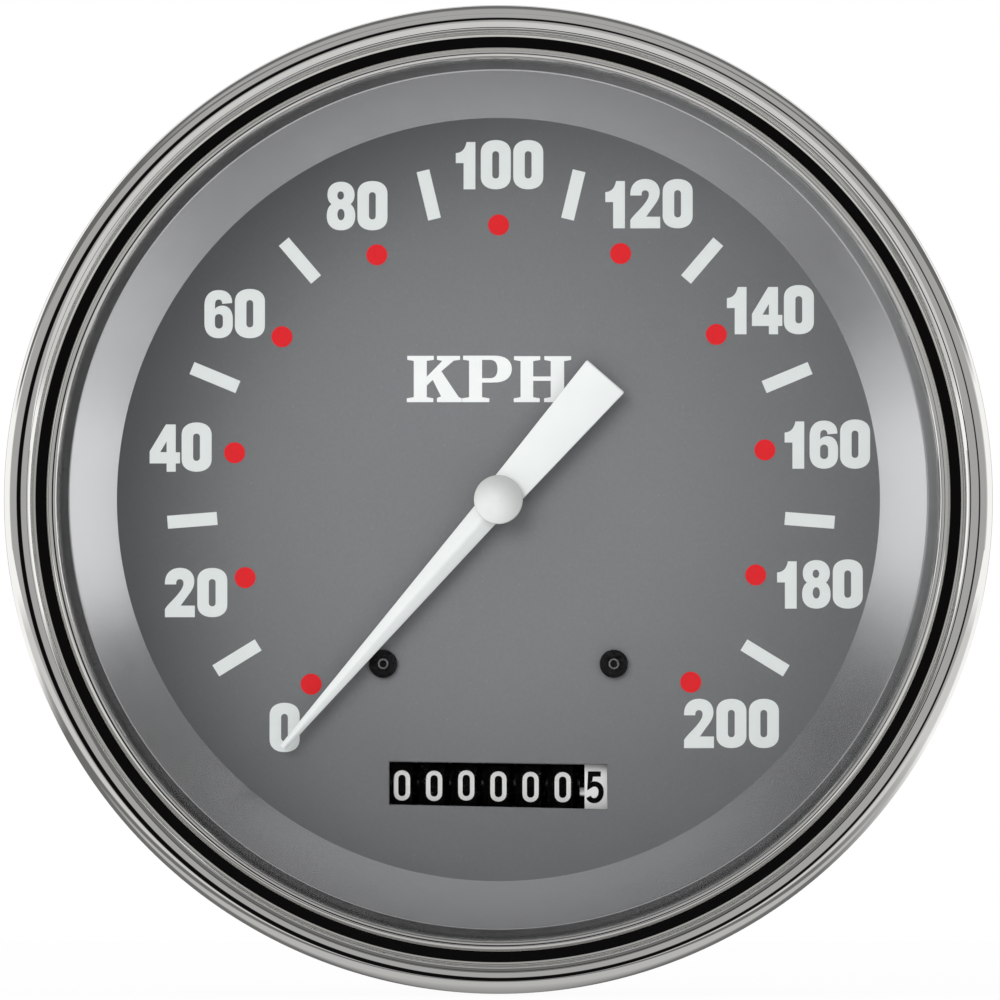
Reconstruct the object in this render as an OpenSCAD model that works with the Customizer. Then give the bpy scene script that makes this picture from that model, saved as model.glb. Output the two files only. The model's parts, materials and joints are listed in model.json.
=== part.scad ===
// Vintage panel speedometer: a chromed bezel, a printed dial behind glass, a magnetic pointer
// movement and a seven-wheel distance counter, in a drawn steel case with a cable drive.
// Millimetres, +Z up, +X right, the dial facing -Y. The origin is on the instrument's axis,
// in the plane where the bezel rests on the panel.

/* [Case] */
// Outer diameter of the case, which passes through the panel
case_d = 116.8; // [114:0.2:118]
// Depth of the case behind the panel
case_depth = 50; // [48:0.5:60]
// Thickness of the case's sheet
case_sheet = 0.8; // [0.6:0.1:1.2]
// Radius of the case's back edge
case_corner_r = 5; // [3:0.5:7]

/* [Bezel] */
// Reach of the bezel's edge beyond the case, over the panel
bezel_reach = 4.1; // [3.8:0.1:6]
// Height of the bezel in front of the panel
bezel_h = 11.4; // [10.8:0.1:13]
// Thickness of the bezel's sheet
bezel_sheet = 0.9; // [0.7:0.1:1.1]
// Width from the bezel's outer edge to the crest of its large bead
bead_outer_w = 1.6; // [1.3:0.1:2]
// Width from the crest of the large bead to the flat step
bead_inner_w = 2.4; // [2.1:0.1:2.8]
// Width of the flat step
step_w = 1.3; // [0.9:0.05:1.5]
// Width of the small bead at the bezel's inner edge
lip_bead_w = 1.5; // [1.3:0.05:2]

/* [Lens and trim ring] */
// Thickness of the glass
lens_t = 2; // [1.5:0.1:2.4]
// Thickness of the rubber gasket under the glass
gasket_t = 0.6; // [0.4:0.1:1]
// Width of the trim ring's flat rim that shows inside the bezel
trim_rim_w = 1.4; // [1:0.1:1.8]
// Width of the trim ring's cone, seen from the front
trim_cone_w = 6; // [5:0.1:7]
// Depth of the trim ring's cone
trim_depth = 5.2; // [4.8:0.1:5.8]
// Thickness of the trim ring's sheet
trim_sheet = 0.8; // [0.6:0.1:1]

/* [Dial] */
// Thickness of the dial plate
dial_t = 1; // [0.6:0.1:1.2]
// Width of the counter window
window_w = 27.6; // [27:0.1:29]
// Height of the counter window
window_h = 5.6; // [5:0.1:6]
// Drop of the counter window below the dial's centre
window_drop = 36; // [35.5:0.1:37]
// Distance between the two dial screws
dial_screw_span = 29.2; // [28.6:0.1:29.6]
// Drop of the dial screws below the dial's centre
dial_screw_drop = 20.8; // [20.4:0.1:21.2]
// Head diameter of a dial screw
dial_screw_d = 3.6; // [3.2:0.1:4]

/* [Pointer] */
// Reach of the needle from the hub to its tip
needle_len = 41.6; // [36:0.1:44]
// Width of the needle beside the hub
needle_root_w = 3.7; // [3:0.1:4.4]
// Width of the needle at its tip
needle_tip_w = 0.8; // [0.6:0.1:1.4]
// Reach of the tail from the hub
tail_len = 20.7; // [16:0.1:24]
// Width of the tail beside the hub
tail_root_w = 4.4; // [3.6:0.1:5]
// Width of the tail at its end
tail_end_w = 6.3; // [5:0.1:7]
// Diameter of the cap on the hub
hub_cap_d = 6.2; // [5.4:0.1:7]
// Gap between the dial and the underside of the needle
needle_lift = 1.8; // [1.4:0.1:2.2]
// Angle from the upright to the needle at rest, counter-clockwise
needle_rest = 139; // [130:1:150]

/* [Pointer movement] */
// Diameter of the magnet
magnet_d = 19.2; // [17:0.2:20]
// Thickness of the magnet
magnet_t = 5; // [4:0.2:5.6]
// Air gap on each side of the drag cup's wall
air_gap = 0.6; // [0.4:0.1:0.8]
// Thickness of the drag cup's wall
drag_cup_t = 0.4; // [0.3:0.1:0.6]
// Thickness of the flux cup's wall
flux_cup_t = 1; // [0.8:0.1:1.2]
// Diameter of the pointer's spindle
pointer_spindle_d = 1.5; // [1.2:0.1:1.8]
// Diameter of the drive spindle
drive_spindle_d = 5; // [4.8:0.1:5.4]
// Thickness of the bridge
bridge_t = 1.4; // [1:0.1:1.8]
// Number of turns of the hairspring
hairspring_turns = 4; // [3:1:5]

/* [Counter] */
// Diameter of a number wheel
wheel_d = 18.4; // [18:0.1:18.8]
// Distance from one number wheel to the next
wheel_pitch = 4.07; // [4:0.01:4.2]
// Width of a number wheel's printed rim
rim_w = 2.6; // [2.5:0.05:2.7]
// Diameter of the axle that the number wheels turn on
counter_axle_d = 4; // [3.4:0.1:4.4]
// Tooth size of the transfer gears between the number wheels
transfer_module = 0.72; // [0.71:0.01:0.73]

/* [Gear train] */
// Tooth size of the worm and its wheel
worm_module = 0.5; // [0.48:0.01:0.52]
// Number of teeth on the worm wheel
worm_wheel_teeth = 40; // [38:1:42]
// Number of teeth on each small pinion
pinion_teeth = 10; // [10:1:11]
// Number of teeth on each large wheel
train_wheel_teeth = 50; // [48:1:52]
// Pitch diameter of the worm
worm_d = 7.2; // [7:0.1:7.6]
// Drop of the idler shaft below the dial's centre
idler_drop = 31; // [30.6:0.1:31.6]
// Width of the train's gears
gear_w = 1.5; // [1.2:0.1:1.6]

/* [Back fittings] */
// Outer diameter of the threaded cable nipple
nipple_d = 15.88; // [14:0.02:17]
// Length of the nipple behind the housing's nut
nipple_len = 12; // [10:0.5:16]
// Diameter of the housing's thread through the case
housing_thread_d = 18.4; // [17.6:0.1:20]
// Diameter of the nipple's mouth, which takes the cable's ferrule
nipple_mouth_d = 10; // [8:0.1:11]
// Depth of the nipple's mouth
nipple_mouth_len = 8; // [6:0.5:9]
// Diameter of a mounting stud
stud_d = 4.8; // [4:0.1:6]
// Length of a mounting stud behind the case
stud_len = 25; // [15:1:30]
// Distance between the two mounting studs
stud_span = 76; // [72:1:80]
// Diameter of a lamp holder's neck
lamp_neck_d = 11; // [9:0.5:12]
// Distance from the case's wall to a lamp's centre
lamp_edge = 12.9; // [11:0.1:15]
// Angle from the upright to a lamp
lamp_turn = 33; // [31:1:35]

/* [Hidden] */
$fn = 64;
// Play of a turning shaft in its bearing, on the radius
run_clear = 0.05;
// Play of a loose stack of discs in the bezel, on the radius
stack_clear = 0.3;
// Air between parts that pass each other
pass_clear = 0.4;

// Bezel, from its outer edge inwards and from the panel forwards
bezel_r = case_d / 2 + bezel_reach;
crest_r = bezel_r - bead_outer_w;
step_outer_r = crest_r - bead_inner_w;
lip_outer_r = step_outer_r - step_w;
lip_mid_r = lip_outer_r - lip_bead_w / 2;
step_rise = 0.3;
step_z = bezel_h - bead_inner_w + step_rise;
lip_z = step_z - step_rise;
lens_front_z = step_z - bezel_sheet;
stack_r = bezel_r - bezel_sheet - stack_clear;
lens_bevel = 0.3;

// Stack of discs behind the lens
lens_back_z = lens_front_z - lens_t;
trim_front_z = lens_back_z - gasket_t;
gasket_w = 4.5;
dial_face_z = trim_front_z - trim_depth;
dial_back_z = dial_face_z - dial_t;
trim_foot_w = 1.1;
trim_mouth_r = lip_mid_r - lip_bead_w / 2 - trim_rim_w;
trim_window_r = trim_mouth_r - trim_cone_w;
flange_back_z = bezel_sheet;
flange_front_z = flange_back_z + case_sheet;

// Case
case_r = case_d / 2;
case_inner_r = case_r - case_sheet;
case_back_z = -case_depth;
case_floor_z = case_back_z + case_sheet;
crimp_clear = 0.7;
case_shoulder = crimp_clear - run_clear;
dial_r = case_inner_r - stack_clear;
lamp_reach = case_r - lamp_edge;

// Pointer and its spindle
needle_z = dial_face_z + needle_lift;
needle_t = 0.8;
needle_ridge = 0.9;
tail_t = 0.9;
hub_boss_r = 2.1;
hub_boss_drop = 1;
hub_cap_skirt = 0.5;
hub_cap_rise = 0.7;
hub_cap_z = needle_z + needle_t + needle_ridge;
pointer_spindle_r = pointer_spindle_d / 2;
dial_bore_r = 2.6;

// Bridge that carries the pointer's front bearing
bridge_drop = 1.6;
bridge_front_z = dial_back_z - bridge_drop;
bridge_back_z = bridge_front_z - bridge_t;
bridge_w = 7;
bridge_hub_r = 8.2;
bridge_post_x = 17.6;
bridge_post_r = 2.3;
pointer_bush_r = 2;
pointer_bush_drop = 0.4;

// Stop that holds the pointer at rest
stop_arm_t = 0.6;
stop_arm_z = bridge_front_z + pass_clear;
stop_arm_len = 5.6;
stop_arm_w = 1.2;
stop_hub_r = 1.8;
stop_pin_r = 0.5;
stop_reach = 4.6;
stop_gap = 0.06;
stop_pin_turn = asin((stop_arm_w / 2 + stop_pin_r + stop_gap) / stop_reach);

// Hairspring between the bridge and the drag cup
hairspring_h = 1;
hairspring_front_z = bridge_back_z - pointer_bush_drop - pass_clear;
hairspring_back_z = hairspring_front_z - hairspring_h;
hairspring_t = 0.25;
hairspring_steps = 24;
collet_r = 1.6;
hairspring_r = 6.6;
hairspring_clear = 0.02;
hairspring_end_r = collet_r + hairspring_clear + hairspring_t / 2;
hairspring_post_r = 0.6;

// Drag cup, magnet and flux cup, one inside the other
drag_cup_front_z = hairspring_back_z - pass_clear;
magnet_front_z = drag_cup_front_z - drag_cup_t - air_gap;
magnet_back_z = magnet_front_z - magnet_t;
magnet_r = magnet_d / 2;
magnet_bar_w = 13.4;
magnet_flat = magnet_bar_w / 2;
drag_cup_r = magnet_r + air_gap + drag_cup_t;
drag_cup_overhang = 0.2;
drag_cup_back_z = magnet_back_z - drag_cup_overhang;
flux_cup_inner_r = drag_cup_r + air_gap;
flux_cup_r = flux_cup_inner_r + flux_cup_t;
flux_cup_floor_z = drag_cup_back_z - 2 * pass_clear;
flux_cup_back_z = flux_cup_floor_z - flux_cup_t;

// Main plate of the frame
plate_front_z = flux_cup_back_z;
plate_t = 2.5;
plate_back_z = plate_front_z - plate_t;
plate_mid_z = plate_front_z - plate_t / 2;
plate_rim = 0.6;
plate_waist = -9;
ear_t = 1.4;
ear_x = 16;
ear_w = 8;
neck_share = 0.94;

// Columns from the case's back to the dial's back
column_r = 3;
column_screw_r = 1.5;
column_screw_len = 8;
upper_column_x = 19;
upper_column_y = 20;
plate_half_w = upper_column_x + column_r + plate_rim;
plate_top = upper_column_y + column_r + plate_rim;
plate_drop = dial_screw_drop + column_r + plate_rim;
columns = [
    [-dial_screw_span / 2, -dial_screw_drop],
    [dial_screw_span / 2, -dial_screw_drop],
    [-upper_column_x, upper_column_y],
    [upper_column_x, upper_column_y]
];
dial_screw_r = 1;
dial_screw_len = 6;
dial_screw_head = 0.9;
dial_screw_socket_r = 0.55;

// Worm on the drive spindle and the wheel below it
spindle_r = drive_spindle_d / 2;
worm_r = worm_d / 2;
worm_lead = PI * worm_module;
worm_thread_tip = 0.8;
worm_thread_root = 1.1;
worm_tip_r = worm_r + worm_thread_tip * worm_module;
worm_root_r = worm_r - worm_thread_root * worm_module;
worm_turns = 4;
worm_len = worm_turns * worm_lead;
worm_sides = 16;
worm_slices = 12;
// Half angles of the thread's crest and root in the worm's cross-section
worm_crest_turn = 45;
worm_root_turn = 112.5;
worm_wheel_r = worm_module * worm_wheel_teeth / 2;
worm_wheel_w = 2.2;
worm_z = plate_back_z - pass_clear - worm_wheel_r - worm_module;
cross = [-worm_r - worm_wheel_r, worm_z];
cross_shaft_r = 1.2;
cross_lug_x = -9;
cross_lug_w = 3;

// Counter's axle, pinion shaft and idler, as [height, depth] across the instrument
wheel_r = wheel_d / 2;
counter = [-window_drop, dial_back_z - pass_clear - wheel_r];
counter_axle_r = counter_axle_d / 2;
wheel_count = 7;
transfer_teeth = 20;
transfer_pinion_teeth = 8;
transfer_reach = transfer_module * (transfer_teeth + transfer_pinion_teeth) / 2;
pinion_axis = [counter[0], counter[1] - transfer_reach];
pinion_shaft_r = 0.6;
// Distance from the counter's axle to the idler, which leaves its wheel inside the number wheel's size
idler_reach = 10.5;
idler_fall = sqrt(pow(idler_reach, 2) - pow(window_drop - idler_drop, 2));
idler = [-idler_drop, counter[1] - idler_fall];
idler_shaft_r = 1;
cross_to_idler = idler - cross;
idler_to_counter = counter - idler;
first_module = 2 * norm(cross_to_idler) / (pinion_teeth + train_wheel_teeth);
second_module = 2 * idler_reach / (pinion_teeth + train_wheel_teeth);
first_line = atan2(cross_to_idler[1], cross_to_idler[0]);
second_line = atan2(idler_to_counter[1], idler_to_counter[0]);
ear_root = [-dial_screw_drop, plate_mid_z];

// Side parts of a number wheel
wheel_gap = wheel_pitch - rim_w;
side_w = 0.6;
pinion_side_clear = 0.15;
pinion_w = wheel_gap - 2 * pinion_side_clear;
lock_gap = 3.5;
lock_r = transfer_reach - lock_gap * transfer_module;
// Turn from the pinion to the two driving teeth, one digit past it on a wheel that shows zero
digit_turn = 36;
pinion_bearing = -90;
gear_side_clear = 0.6;
first_gear_x = ear_x + ear_t + gear_side_clear;
counter_end_x = wheel_pitch * (wheel_count - 1) / 2 + rim_w / 2;
second_gear_x = counter_end_x + pass_clear;
counter_boss_r = 5;
shaft_end = 0.5;

// Gear teeth
pressure_angle = 20;
tooth_tip = 0.9;
tooth_root = 1.2;
tooth_play = 0.14;

// Back fittings
nipple_r = nipple_d / 2;
housing_thread_r = housing_thread_d / 2;
housing_nut_t = 2.5;
nipple_relief = 0.5;
nipple_front_z = case_back_z - housing_nut_t - nipple_relief;
nipple_back_z = nipple_front_z - nipple_len;
mouth_floor_z = nipple_back_z + nipple_mouth_len;
housing_flange_r = 12;
housing_flange_t = 4;
housing_front_z = case_floor_z + housing_flange_t;
housing_hole_clear = 0.15;
housing_nut_d = 28;
housing_nut_slope = 30;
washer_t = 0.8;
washer_w = 2;
washer_play = 0.1;
collar_t = 2;
collar_front_z = housing_front_z + washer_t + washer_play + collar_t;
spindle_recess = 0.5;
spindle_back_z = mouth_floor_z + spindle_recess;
socket_w = 2.7;
socket_len = 12;
pivot_len = 3;
bush_r = 4.2;
screw_head_r = 3.2;
screw_head_t = 2;
stud_neck_r = stud_d / 2 + 0.4;
stud_flange_r = 4.6;
stud_flange_t = 1.5;
lamp_neck_r = lamp_neck_d / 2;
lamp_cap_w = 2;
lamp_cap_t = 7;
lamp_inner_len = 5;
lamp_flutes = 14;
lamp_flute_r = 1;
lamp_flute_depth = 0.4;
bulb_r = 4;
bulb_len = 12;
terminal_size = [6.3, 0.8, 8];
terminal_corner = 1.2;
terminal_hole_d = 1.6;
terminal_hole_at = 3;

WHEEL_PLACES = ["tenths", "units", "tens", "hundreds", "thousands", "ten_thousands", "hundred_thousands"];
PINION_PLACES = [for (i = [1 : wheel_count - 1]) WHEEL_PLACES[i]];

// Stands a shape that lies face up, with its front along +Z, on its edge to face -Y
module stand_up() {
    rotate([90, 0, 0]) children();
}

// A disc or tube that lies face up between two levels
module drum(r, back_z, front_z, bore = 0) {
    translate([0, 0, back_z]) difference() {
        cylinder(r = r, h = front_z - back_z);
        if (bore > 0)
            translate([0, 0, -1]) cylinder(r = bore, h = front_z - back_z + 2);
    }
}

// Places a shape drawn in [height, depth] so that it runs along +X from x
module across(x, axis = [0, 0]) {
    translate([x, axis[0], axis[1]]) rotate([90, 0, 90]) children();
}

// A straight bar with round ends from a to b, a little narrower between them
module bar_2d(a, b, w) {
    reach = b - a;
    neck = w * neck_share;
    translate(a) circle(d = w);
    translate(b) circle(d = w);
    translate(a) rotate(atan2(reach[1], reach[0]))
        translate([0, -neck / 2]) square([norm(reach), neck]);
}

// A lug that drops from a level and ends round about a point
module lug_2d(end, w, level) {
    neck = w * neck_share;
    translate(end) circle(d = w);
    translate(end - [neck / 2, 0]) square([neck, level - end[1]]);
}

module quarter_round(r) {
    intersection() {
        circle(r);
        square(r);
    }
}

// A wedge of a circle about the +X direction
module wedge_2d(r, half_turn) {
    polygon([[0, 0], r * [cos(half_turn), -sin(half_turn)], [r, 0], r * [cos(half_turn), sin(half_turn)]]);
}

function involute(a) = tan(a) * 180 / PI - a;

// Half angle of a tooth at radius r
function tooth_half(teeth, pitch_r, r) =
    let (base_r = pitch_r * cos(pressure_angle))
    90 / teeth + involute(pressure_angle) - (r > base_r ? involute(acos(base_r / r)) : 0)
    - tooth_play / 2 / r * 180 / PI;

function polar(r, a) = r * [cos(a), sin(a)];

// Outline of a spur gear with a tooth on +X
module gear_2d(teeth, tooth_module) {
    pitch_r = teeth * tooth_module / 2;
    root_r = pitch_r - tooth_root * tooth_module;
    tip_r = pitch_r + tooth_tip * tooth_module;
    root_half = tooth_half(teeth, pitch_r, root_r);
    pitch_half = tooth_half(teeth, pitch_r, pitch_r);
    tip_half = tooth_half(teeth, pitch_r, tip_r);
    polygon([
        for (i = [0 : teeth - 1])
            let (a = i * 360 / teeth)
            each [
                polar(root_r, a - root_half), polar(pitch_r, a - pitch_half), polar(tip_r, a - tip_half),
                polar(tip_r, a + tip_half), polar(pitch_r, a + pitch_half), polar(root_r, a + root_half)
            ]
    ]);
}

// A spur gear along +X from x, with a bore and a tooth in the given direction
module gear(x, axis, teeth, tooth_module, tooth_at, bore, w = gear_w) {
    across(x, axis) linear_extrude(w) difference() {
        rotate(tooth_at) gear_2d(teeth, tooth_module);
        circle(bore);
    }
}

module rod(x0, x1, axis, r) {
    across(x0, axis) cylinder(r = r, h = x1 - x0);
}

module bezel_section() {
    // Large bead, with a tighter arc outside its crest than inside
    translate([crest_r, bezel_h - bead_outer_w]) quarter_round(bead_outer_w);
    translate([crest_r, bezel_h - bead_inner_w]) mirror([1, 0]) quarter_round(bead_inner_w);
    translate([crest_r, lens_front_z]) square([bead_outer_w, bezel_h - bead_outer_w - lens_front_z]);
    // Flat step, from the bead in to the middle of the lip
    translate([lip_mid_r, lens_front_z]) square([crest_r - lip_mid_r, lip_z - lens_front_z]);
    translate([lip_mid_r, lens_front_z]) square([step_outer_r + step_rise / 4 - lip_mid_r, bezel_sheet]);
    difference() {
        translate([lip_mid_r, lip_z]) circle(d = lip_bead_w);
        translate([0, lens_front_z - bezel_h]) square([bezel_r, bezel_h]);
    }
    // Outer wall and the edge turned in behind the case's flange
    translate([bezel_r - bezel_sheet, 0]) square([bezel_sheet, bezel_h - bead_outer_w]);
    translate([case_r + crimp_clear, 0]) square([bezel_r - case_r - crimp_clear, bezel_sheet]);
}

module bezel() {
    color("silver") stand_up() rotate_extrude() bezel_section();
}

module lens() {
    color([0.85, 0.92, 0.95, 0.3]) stand_up() rotate_extrude() polygon([
        [0, lens_back_z], [stack_r, lens_back_z], [stack_r, lens_front_z - lens_bevel],
        [stack_r - lens_bevel, lens_front_z], [0, lens_front_z]
    ]);
}

module lens_gasket() {
    color("black") stand_up() drum(stack_r, trim_front_z, lens_back_z, stack_r - gasket_w);
}

// Spun ring: a cone down to the dial, a flat rim under the glass and a skirt on the case's flange
module trim_ring() {
    color("gainsboro") stand_up() rotate_extrude() polygon([
        [trim_window_r, dial_face_z], [trim_mouth_r, trim_front_z], [stack_r, trim_front_z],
        [stack_r, flange_front_z], [stack_r - trim_sheet, flange_front_z],
        [stack_r - trim_sheet, trim_front_z - trim_sheet],
        [trim_mouth_r + trim_sheet / 2, trim_front_z - trim_sheet],
        [trim_window_r + trim_foot_w, dial_face_z]
    ]);
}

// Half section of a cup with a rounded back edge
module cup_section(r, back_z, corner_r) {
    translate([0, back_z]) square([r - corner_r, flange_front_z - back_z]);
    translate([0, back_z + corner_r]) square([r, flange_front_z - back_z - corner_r]);
    translate([r - corner_r, back_z + corner_r]) circle(corner_r);
}

module at_columns() {
    for (place = columns) translate(place) children();
}

module at_lamps() {
    for (side = [-1, 1])
        translate(lamp_reach * [side * sin(lamp_turn), cos(lamp_turn)]) children();
}

module at_studs() {
    for (side = [-1, 1]) translate([side * stud_span / 2, 0]) children();
}

module at_dial_screws() {
    for (side = [-1, 1]) translate([side * dial_screw_span / 2, -dial_screw_drop]) children();
}

module case_shell() {
    color("darkgray") stand_up() difference() {
        rotate_extrude() difference() {
            union() {
                cup_section(case_r, case_back_z, case_corner_r);
                translate([case_inner_r, flange_back_z]) square([stack_r - case_inner_r, case_sheet]);
                // Shoulder that centres the bezel's turned edge
                translate([case_inner_r, 0]) square([case_sheet + case_shoulder, flange_back_z]);
            }
            translate([0, case_sheet])
                cup_section(case_inner_r, case_back_z, case_corner_r - case_sheet);
        }
        drum(housing_thread_r + housing_hole_clear, case_back_z - 1, case_floor_z + 1);
        at_columns() drum(column_screw_r + housing_hole_clear, case_back_z - 1, case_floor_z + 1);
        at_studs() drum(stud_neck_r, case_back_z - 1, case_floor_z + 1);
        at_lamps() drum(lamp_neck_r, case_back_z - 1, case_floor_z + 1);
    }
}

module dial_plate() {
    color("dimgray") stand_up() difference() {
        drum(dial_r, dial_back_z, dial_face_z);
        drum(dial_bore_r, dial_back_z - 1, dial_face_z + 1);
        at_dial_screws() drum(dial_screw_r, dial_back_z - 1, dial_face_z + 1);
        translate([-window_w / 2, -window_drop - window_h / 2, dial_back_z - 1])
            cube([window_w, window_h, dial_t + 2]);
    }
}

module dial_screws() {
    color("black") stand_up() at_dial_screws() difference() {
        union() {
            drum(dial_screw_r, dial_back_z - dial_screw_len, dial_face_z);
            drum(dial_screw_d / 2, dial_face_z, dial_face_z + dial_screw_head);
        }
        translate([0, 0, dial_face_z + dial_screw_head / 2])
            cylinder(r = dial_screw_socket_r, h = dial_screw_head, $fn = 6);
    }
}

// Turns a shape drawn along +X to the needle's direction at rest
module at_rest() {
    rotate(90 + needle_rest) children();
}

// Needle with a ridge along its length, drawn along +X from the hub
module needle_blade() {
    root = needle_root_w / 2;
    tip = needle_tip_w / 2;
    tip_ridge = needle_tip_w / needle_root_w;
    polyhedron(
        points = [
            [0, -root, 0], [0, root, 0], [needle_len, tip, 0], [needle_len, -tip, 0],
            [0, -root, needle_t], [0, root, needle_t],
            [needle_len, tip, needle_t * tip_ridge], [needle_len, -tip, needle_t * tip_ridge],
            [0, 0, needle_t + needle_ridge], [needle_len, 0, (needle_t + needle_ridge) * tip_ridge]
        ],
        faces = [
            [0, 3, 2, 1], [0, 4, 7, 3], [1, 2, 6, 5], [4, 8, 9, 7], [5, 6, 9, 8],
            [0, 1, 5, 8, 4], [3, 7, 9, 6, 2]
        ]
    );
}

module pointer_needle() {
    color("white") stand_up() difference() {
        union() {
            translate([0, 0, needle_z]) at_rest() {
                needle_blade();
                linear_extrude(tail_t) polygon([
                    [0, -tail_root_w / 2], [0, tail_root_w / 2],
                    [-tail_len, tail_end_w / 2], [-tail_len, -tail_end_w / 2]
                ]);
            }
            drum(hub_boss_r, needle_z - hub_boss_drop, hub_cap_z);
        }
        drum(pointer_spindle_r, needle_z - hub_boss_drop - 1, hub_cap_z + 1);
    }
}

// Shallow turned cone that hides the end of the spindle
module pointer_cap() {
    cap_r = hub_cap_d / 2;
    color("whitesmoke") stand_up() rotate_extrude() polygon([
        [0, hub_cap_z], [cap_r, hub_cap_z], [cap_r, hub_cap_z + hub_cap_skirt],
        [0, hub_cap_z + hub_cap_skirt + hub_cap_rise]
    ]);
}

module pointer_spindle() {
    color("lightsteelblue") stand_up() drum(pointer_spindle_r, magnet_front_z - pivot_len, hub_cap_z);
}

module stop_arm() {
    color("goldenrod") stand_up() translate([0, 0, stop_arm_z]) linear_extrude(stop_arm_t) difference() {
        union() {
            circle(stop_hub_r);
            at_rest() translate([0, -stop_arm_w / 2]) square([stop_arm_len, stop_arm_w]);
        }
        circle(pointer_spindle_r);
    }
}

module stop_pin() {
    color("silver") stand_up() at_rest() rotate(stop_pin_turn) translate([stop_reach, 0])
        drum(stop_pin_r, bridge_back_z, stop_arm_z + stop_arm_t);
}

module hairspring_collet() {
    color("goldenrod") stand_up() drum(collet_r, hairspring_back_z, hairspring_front_z, pointer_spindle_r);
}

function spiral_point(i, side) =
    let (count = hairspring_turns * hairspring_steps)
    polar(hairspring_end_r + (hairspring_r - hairspring_end_r) * i / count + side * hairspring_t / 2,
        360 * i / hairspring_steps);

// Flat spiral from the collet out to the post on the bridge
module hairspring() {
    count = hairspring_turns * hairspring_steps;
    color("lightsteelblue") stand_up() translate([0, 0, hairspring_back_z]) linear_extrude(hairspring_h)
        polygon(concat(
            [for (i = [0 : count]) spiral_point(i, 1)],
            [for (i = [count : -1 : 0]) spiral_point(i, -1)]
        ));
}

module hairspring_post() {
    post_x = hairspring_r + hairspring_t / 2 + hairspring_post_r;
    color("goldenrod") stand_up() translate([post_x, 0])
        drum(hairspring_post_r, hairspring_back_z, bridge_back_z);
}

module drag_cup() {
    color("lightgray") stand_up() difference() {
        drum(drag_cup_r, drag_cup_back_z, drag_cup_front_z);
        drum(drag_cup_r - drag_cup_t, drag_cup_back_z - 1, drag_cup_front_z - drag_cup_t);
        drum(pointer_spindle_r, drag_cup_back_z, drag_cup_front_z + 1);
    }
}

module at_bridge_posts() {
    for (side = [-1, 1]) translate([side * bridge_post_x, 0]) children();
}

module bridge() {
    color("goldenrod") stand_up() difference() {
        translate([0, 0, bridge_back_z]) linear_extrude(bridge_t) {
            bar_2d([-bridge_post_x, 0], [bridge_post_x, 0], bridge_w);
            circle(bridge_hub_r);
        }
        drum(pointer_bush_r, bridge_back_z - 1, bridge_front_z + 1);
        at_rest() rotate(stop_pin_turn) translate([stop_reach, 0])
            drum(stop_pin_r, bridge_back_z - 1, bridge_front_z + 1);
        at_bridge_posts() drum(dial_screw_r, bridge_back_z - 1, bridge_front_z + 1);
    }
}

module bridge_screws() {
    color("silver") stand_up() at_bridge_posts() {
        drum(dial_screw_r, bridge_back_z - dial_screw_len / 2, bridge_front_z);
        drum(dial_screw_d / 2, bridge_front_z, bridge_front_z + dial_screw_head);
    }
}

module pointer_bush() {
    bore_r = pointer_spindle_r + run_clear;
    color("gold") stand_up() drum(pointer_bush_r, bridge_back_z - pointer_bush_drop, bridge_front_z, bore_r);
}

module flux_cup() {
    color("slategray") stand_up() difference() {
        drum(flux_cup_r, flux_cup_back_z, drag_cup_front_z);
        drum(flux_cup_inner_r, flux_cup_floor_z, drag_cup_front_z + 1);
        drum(bush_r, flux_cup_back_z - 1, flux_cup_floor_z + 1);
    }
}

module magnet() {
    color("dimgray") stand_up() difference() {
        drum(magnet_r, magnet_back_z, magnet_front_z, spindle_r);
        for (side = [-1, 1])
            translate([-magnet_r, side > 0 ? magnet_flat : -magnet_flat - magnet_r, magnet_back_z - 1])
                cube([magnet_d, magnet_r, magnet_t + 2]);
    }
}

// Upright ear that carries the ends of the counter's shafts
module ear(x, right) {
    across(x) linear_extrude(ear_t) difference() {
        union() {
            bar_2d(counter, pinion_axis, ear_w);
            bar_2d(counter, ear_root, ear_w);
            bar_2d(pinion_axis, ear_root, ear_w);
            if (right) {
                bar_2d(ear_root, cross, ear_w);
                bar_2d(idler, ear_root, ear_w);
            }
        }
        translate(counter) circle(counter_axle_r);
        translate(pinion_axis) circle(pinion_shaft_r);
        if (right) {
            translate(cross) circle(cross_shaft_r + run_clear);
            translate(idler) circle(idler_shaft_r + run_clear);
        }
    }
}

// Cast frame: a plate with columns, posts for the bridge, ears for the counter and a shaft lug
module movement_frame() {
    lower_half_w = ear_x + ear_t;
    color("lightgray") stand_up() difference() {
        union() {
            translate([-plate_half_w, plate_waist, plate_back_z])
                cube([2 * plate_half_w, plate_top - plate_waist, plate_t]);
            translate([-lower_half_w, -plate_drop, plate_back_z])
                cube([2 * lower_half_w, plate_waist + plate_drop + 1, plate_t]);
            at_columns() drum(column_r, case_floor_z, dial_back_z);
            at_bridge_posts() drum(bridge_post_r, plate_mid_z, bridge_back_z);
            ear(-lower_half_w, false);
            ear(ear_x, true);
            across(cross_lug_x) linear_extrude(cross_lug_w) lug_2d(cross, ear_w, plate_mid_z);
        }
        drum(bush_r, plate_back_z - 1, plate_front_z + 1);
        rod(cross_lug_x - 1, cross_lug_x + cross_lug_w + 1, cross, cross_shaft_r + run_clear);
        at_columns() drum(column_screw_r, case_floor_z - 1, case_floor_z + column_screw_len);
        at_dial_screws() drum(dial_screw_r, dial_back_z - dial_screw_len, dial_back_z + 1);
        at_bridge_posts() drum(dial_screw_r, bridge_back_z - dial_screw_len / 2, bridge_back_z + 1);
    }
}

module movement_screws() {
    color("silver") stand_up() at_columns() {
        drum(column_screw_r, case_back_z, case_floor_z + column_screw_len);
        drum(screw_head_r, case_back_z - screw_head_t, case_back_z);
    }
}

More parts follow.
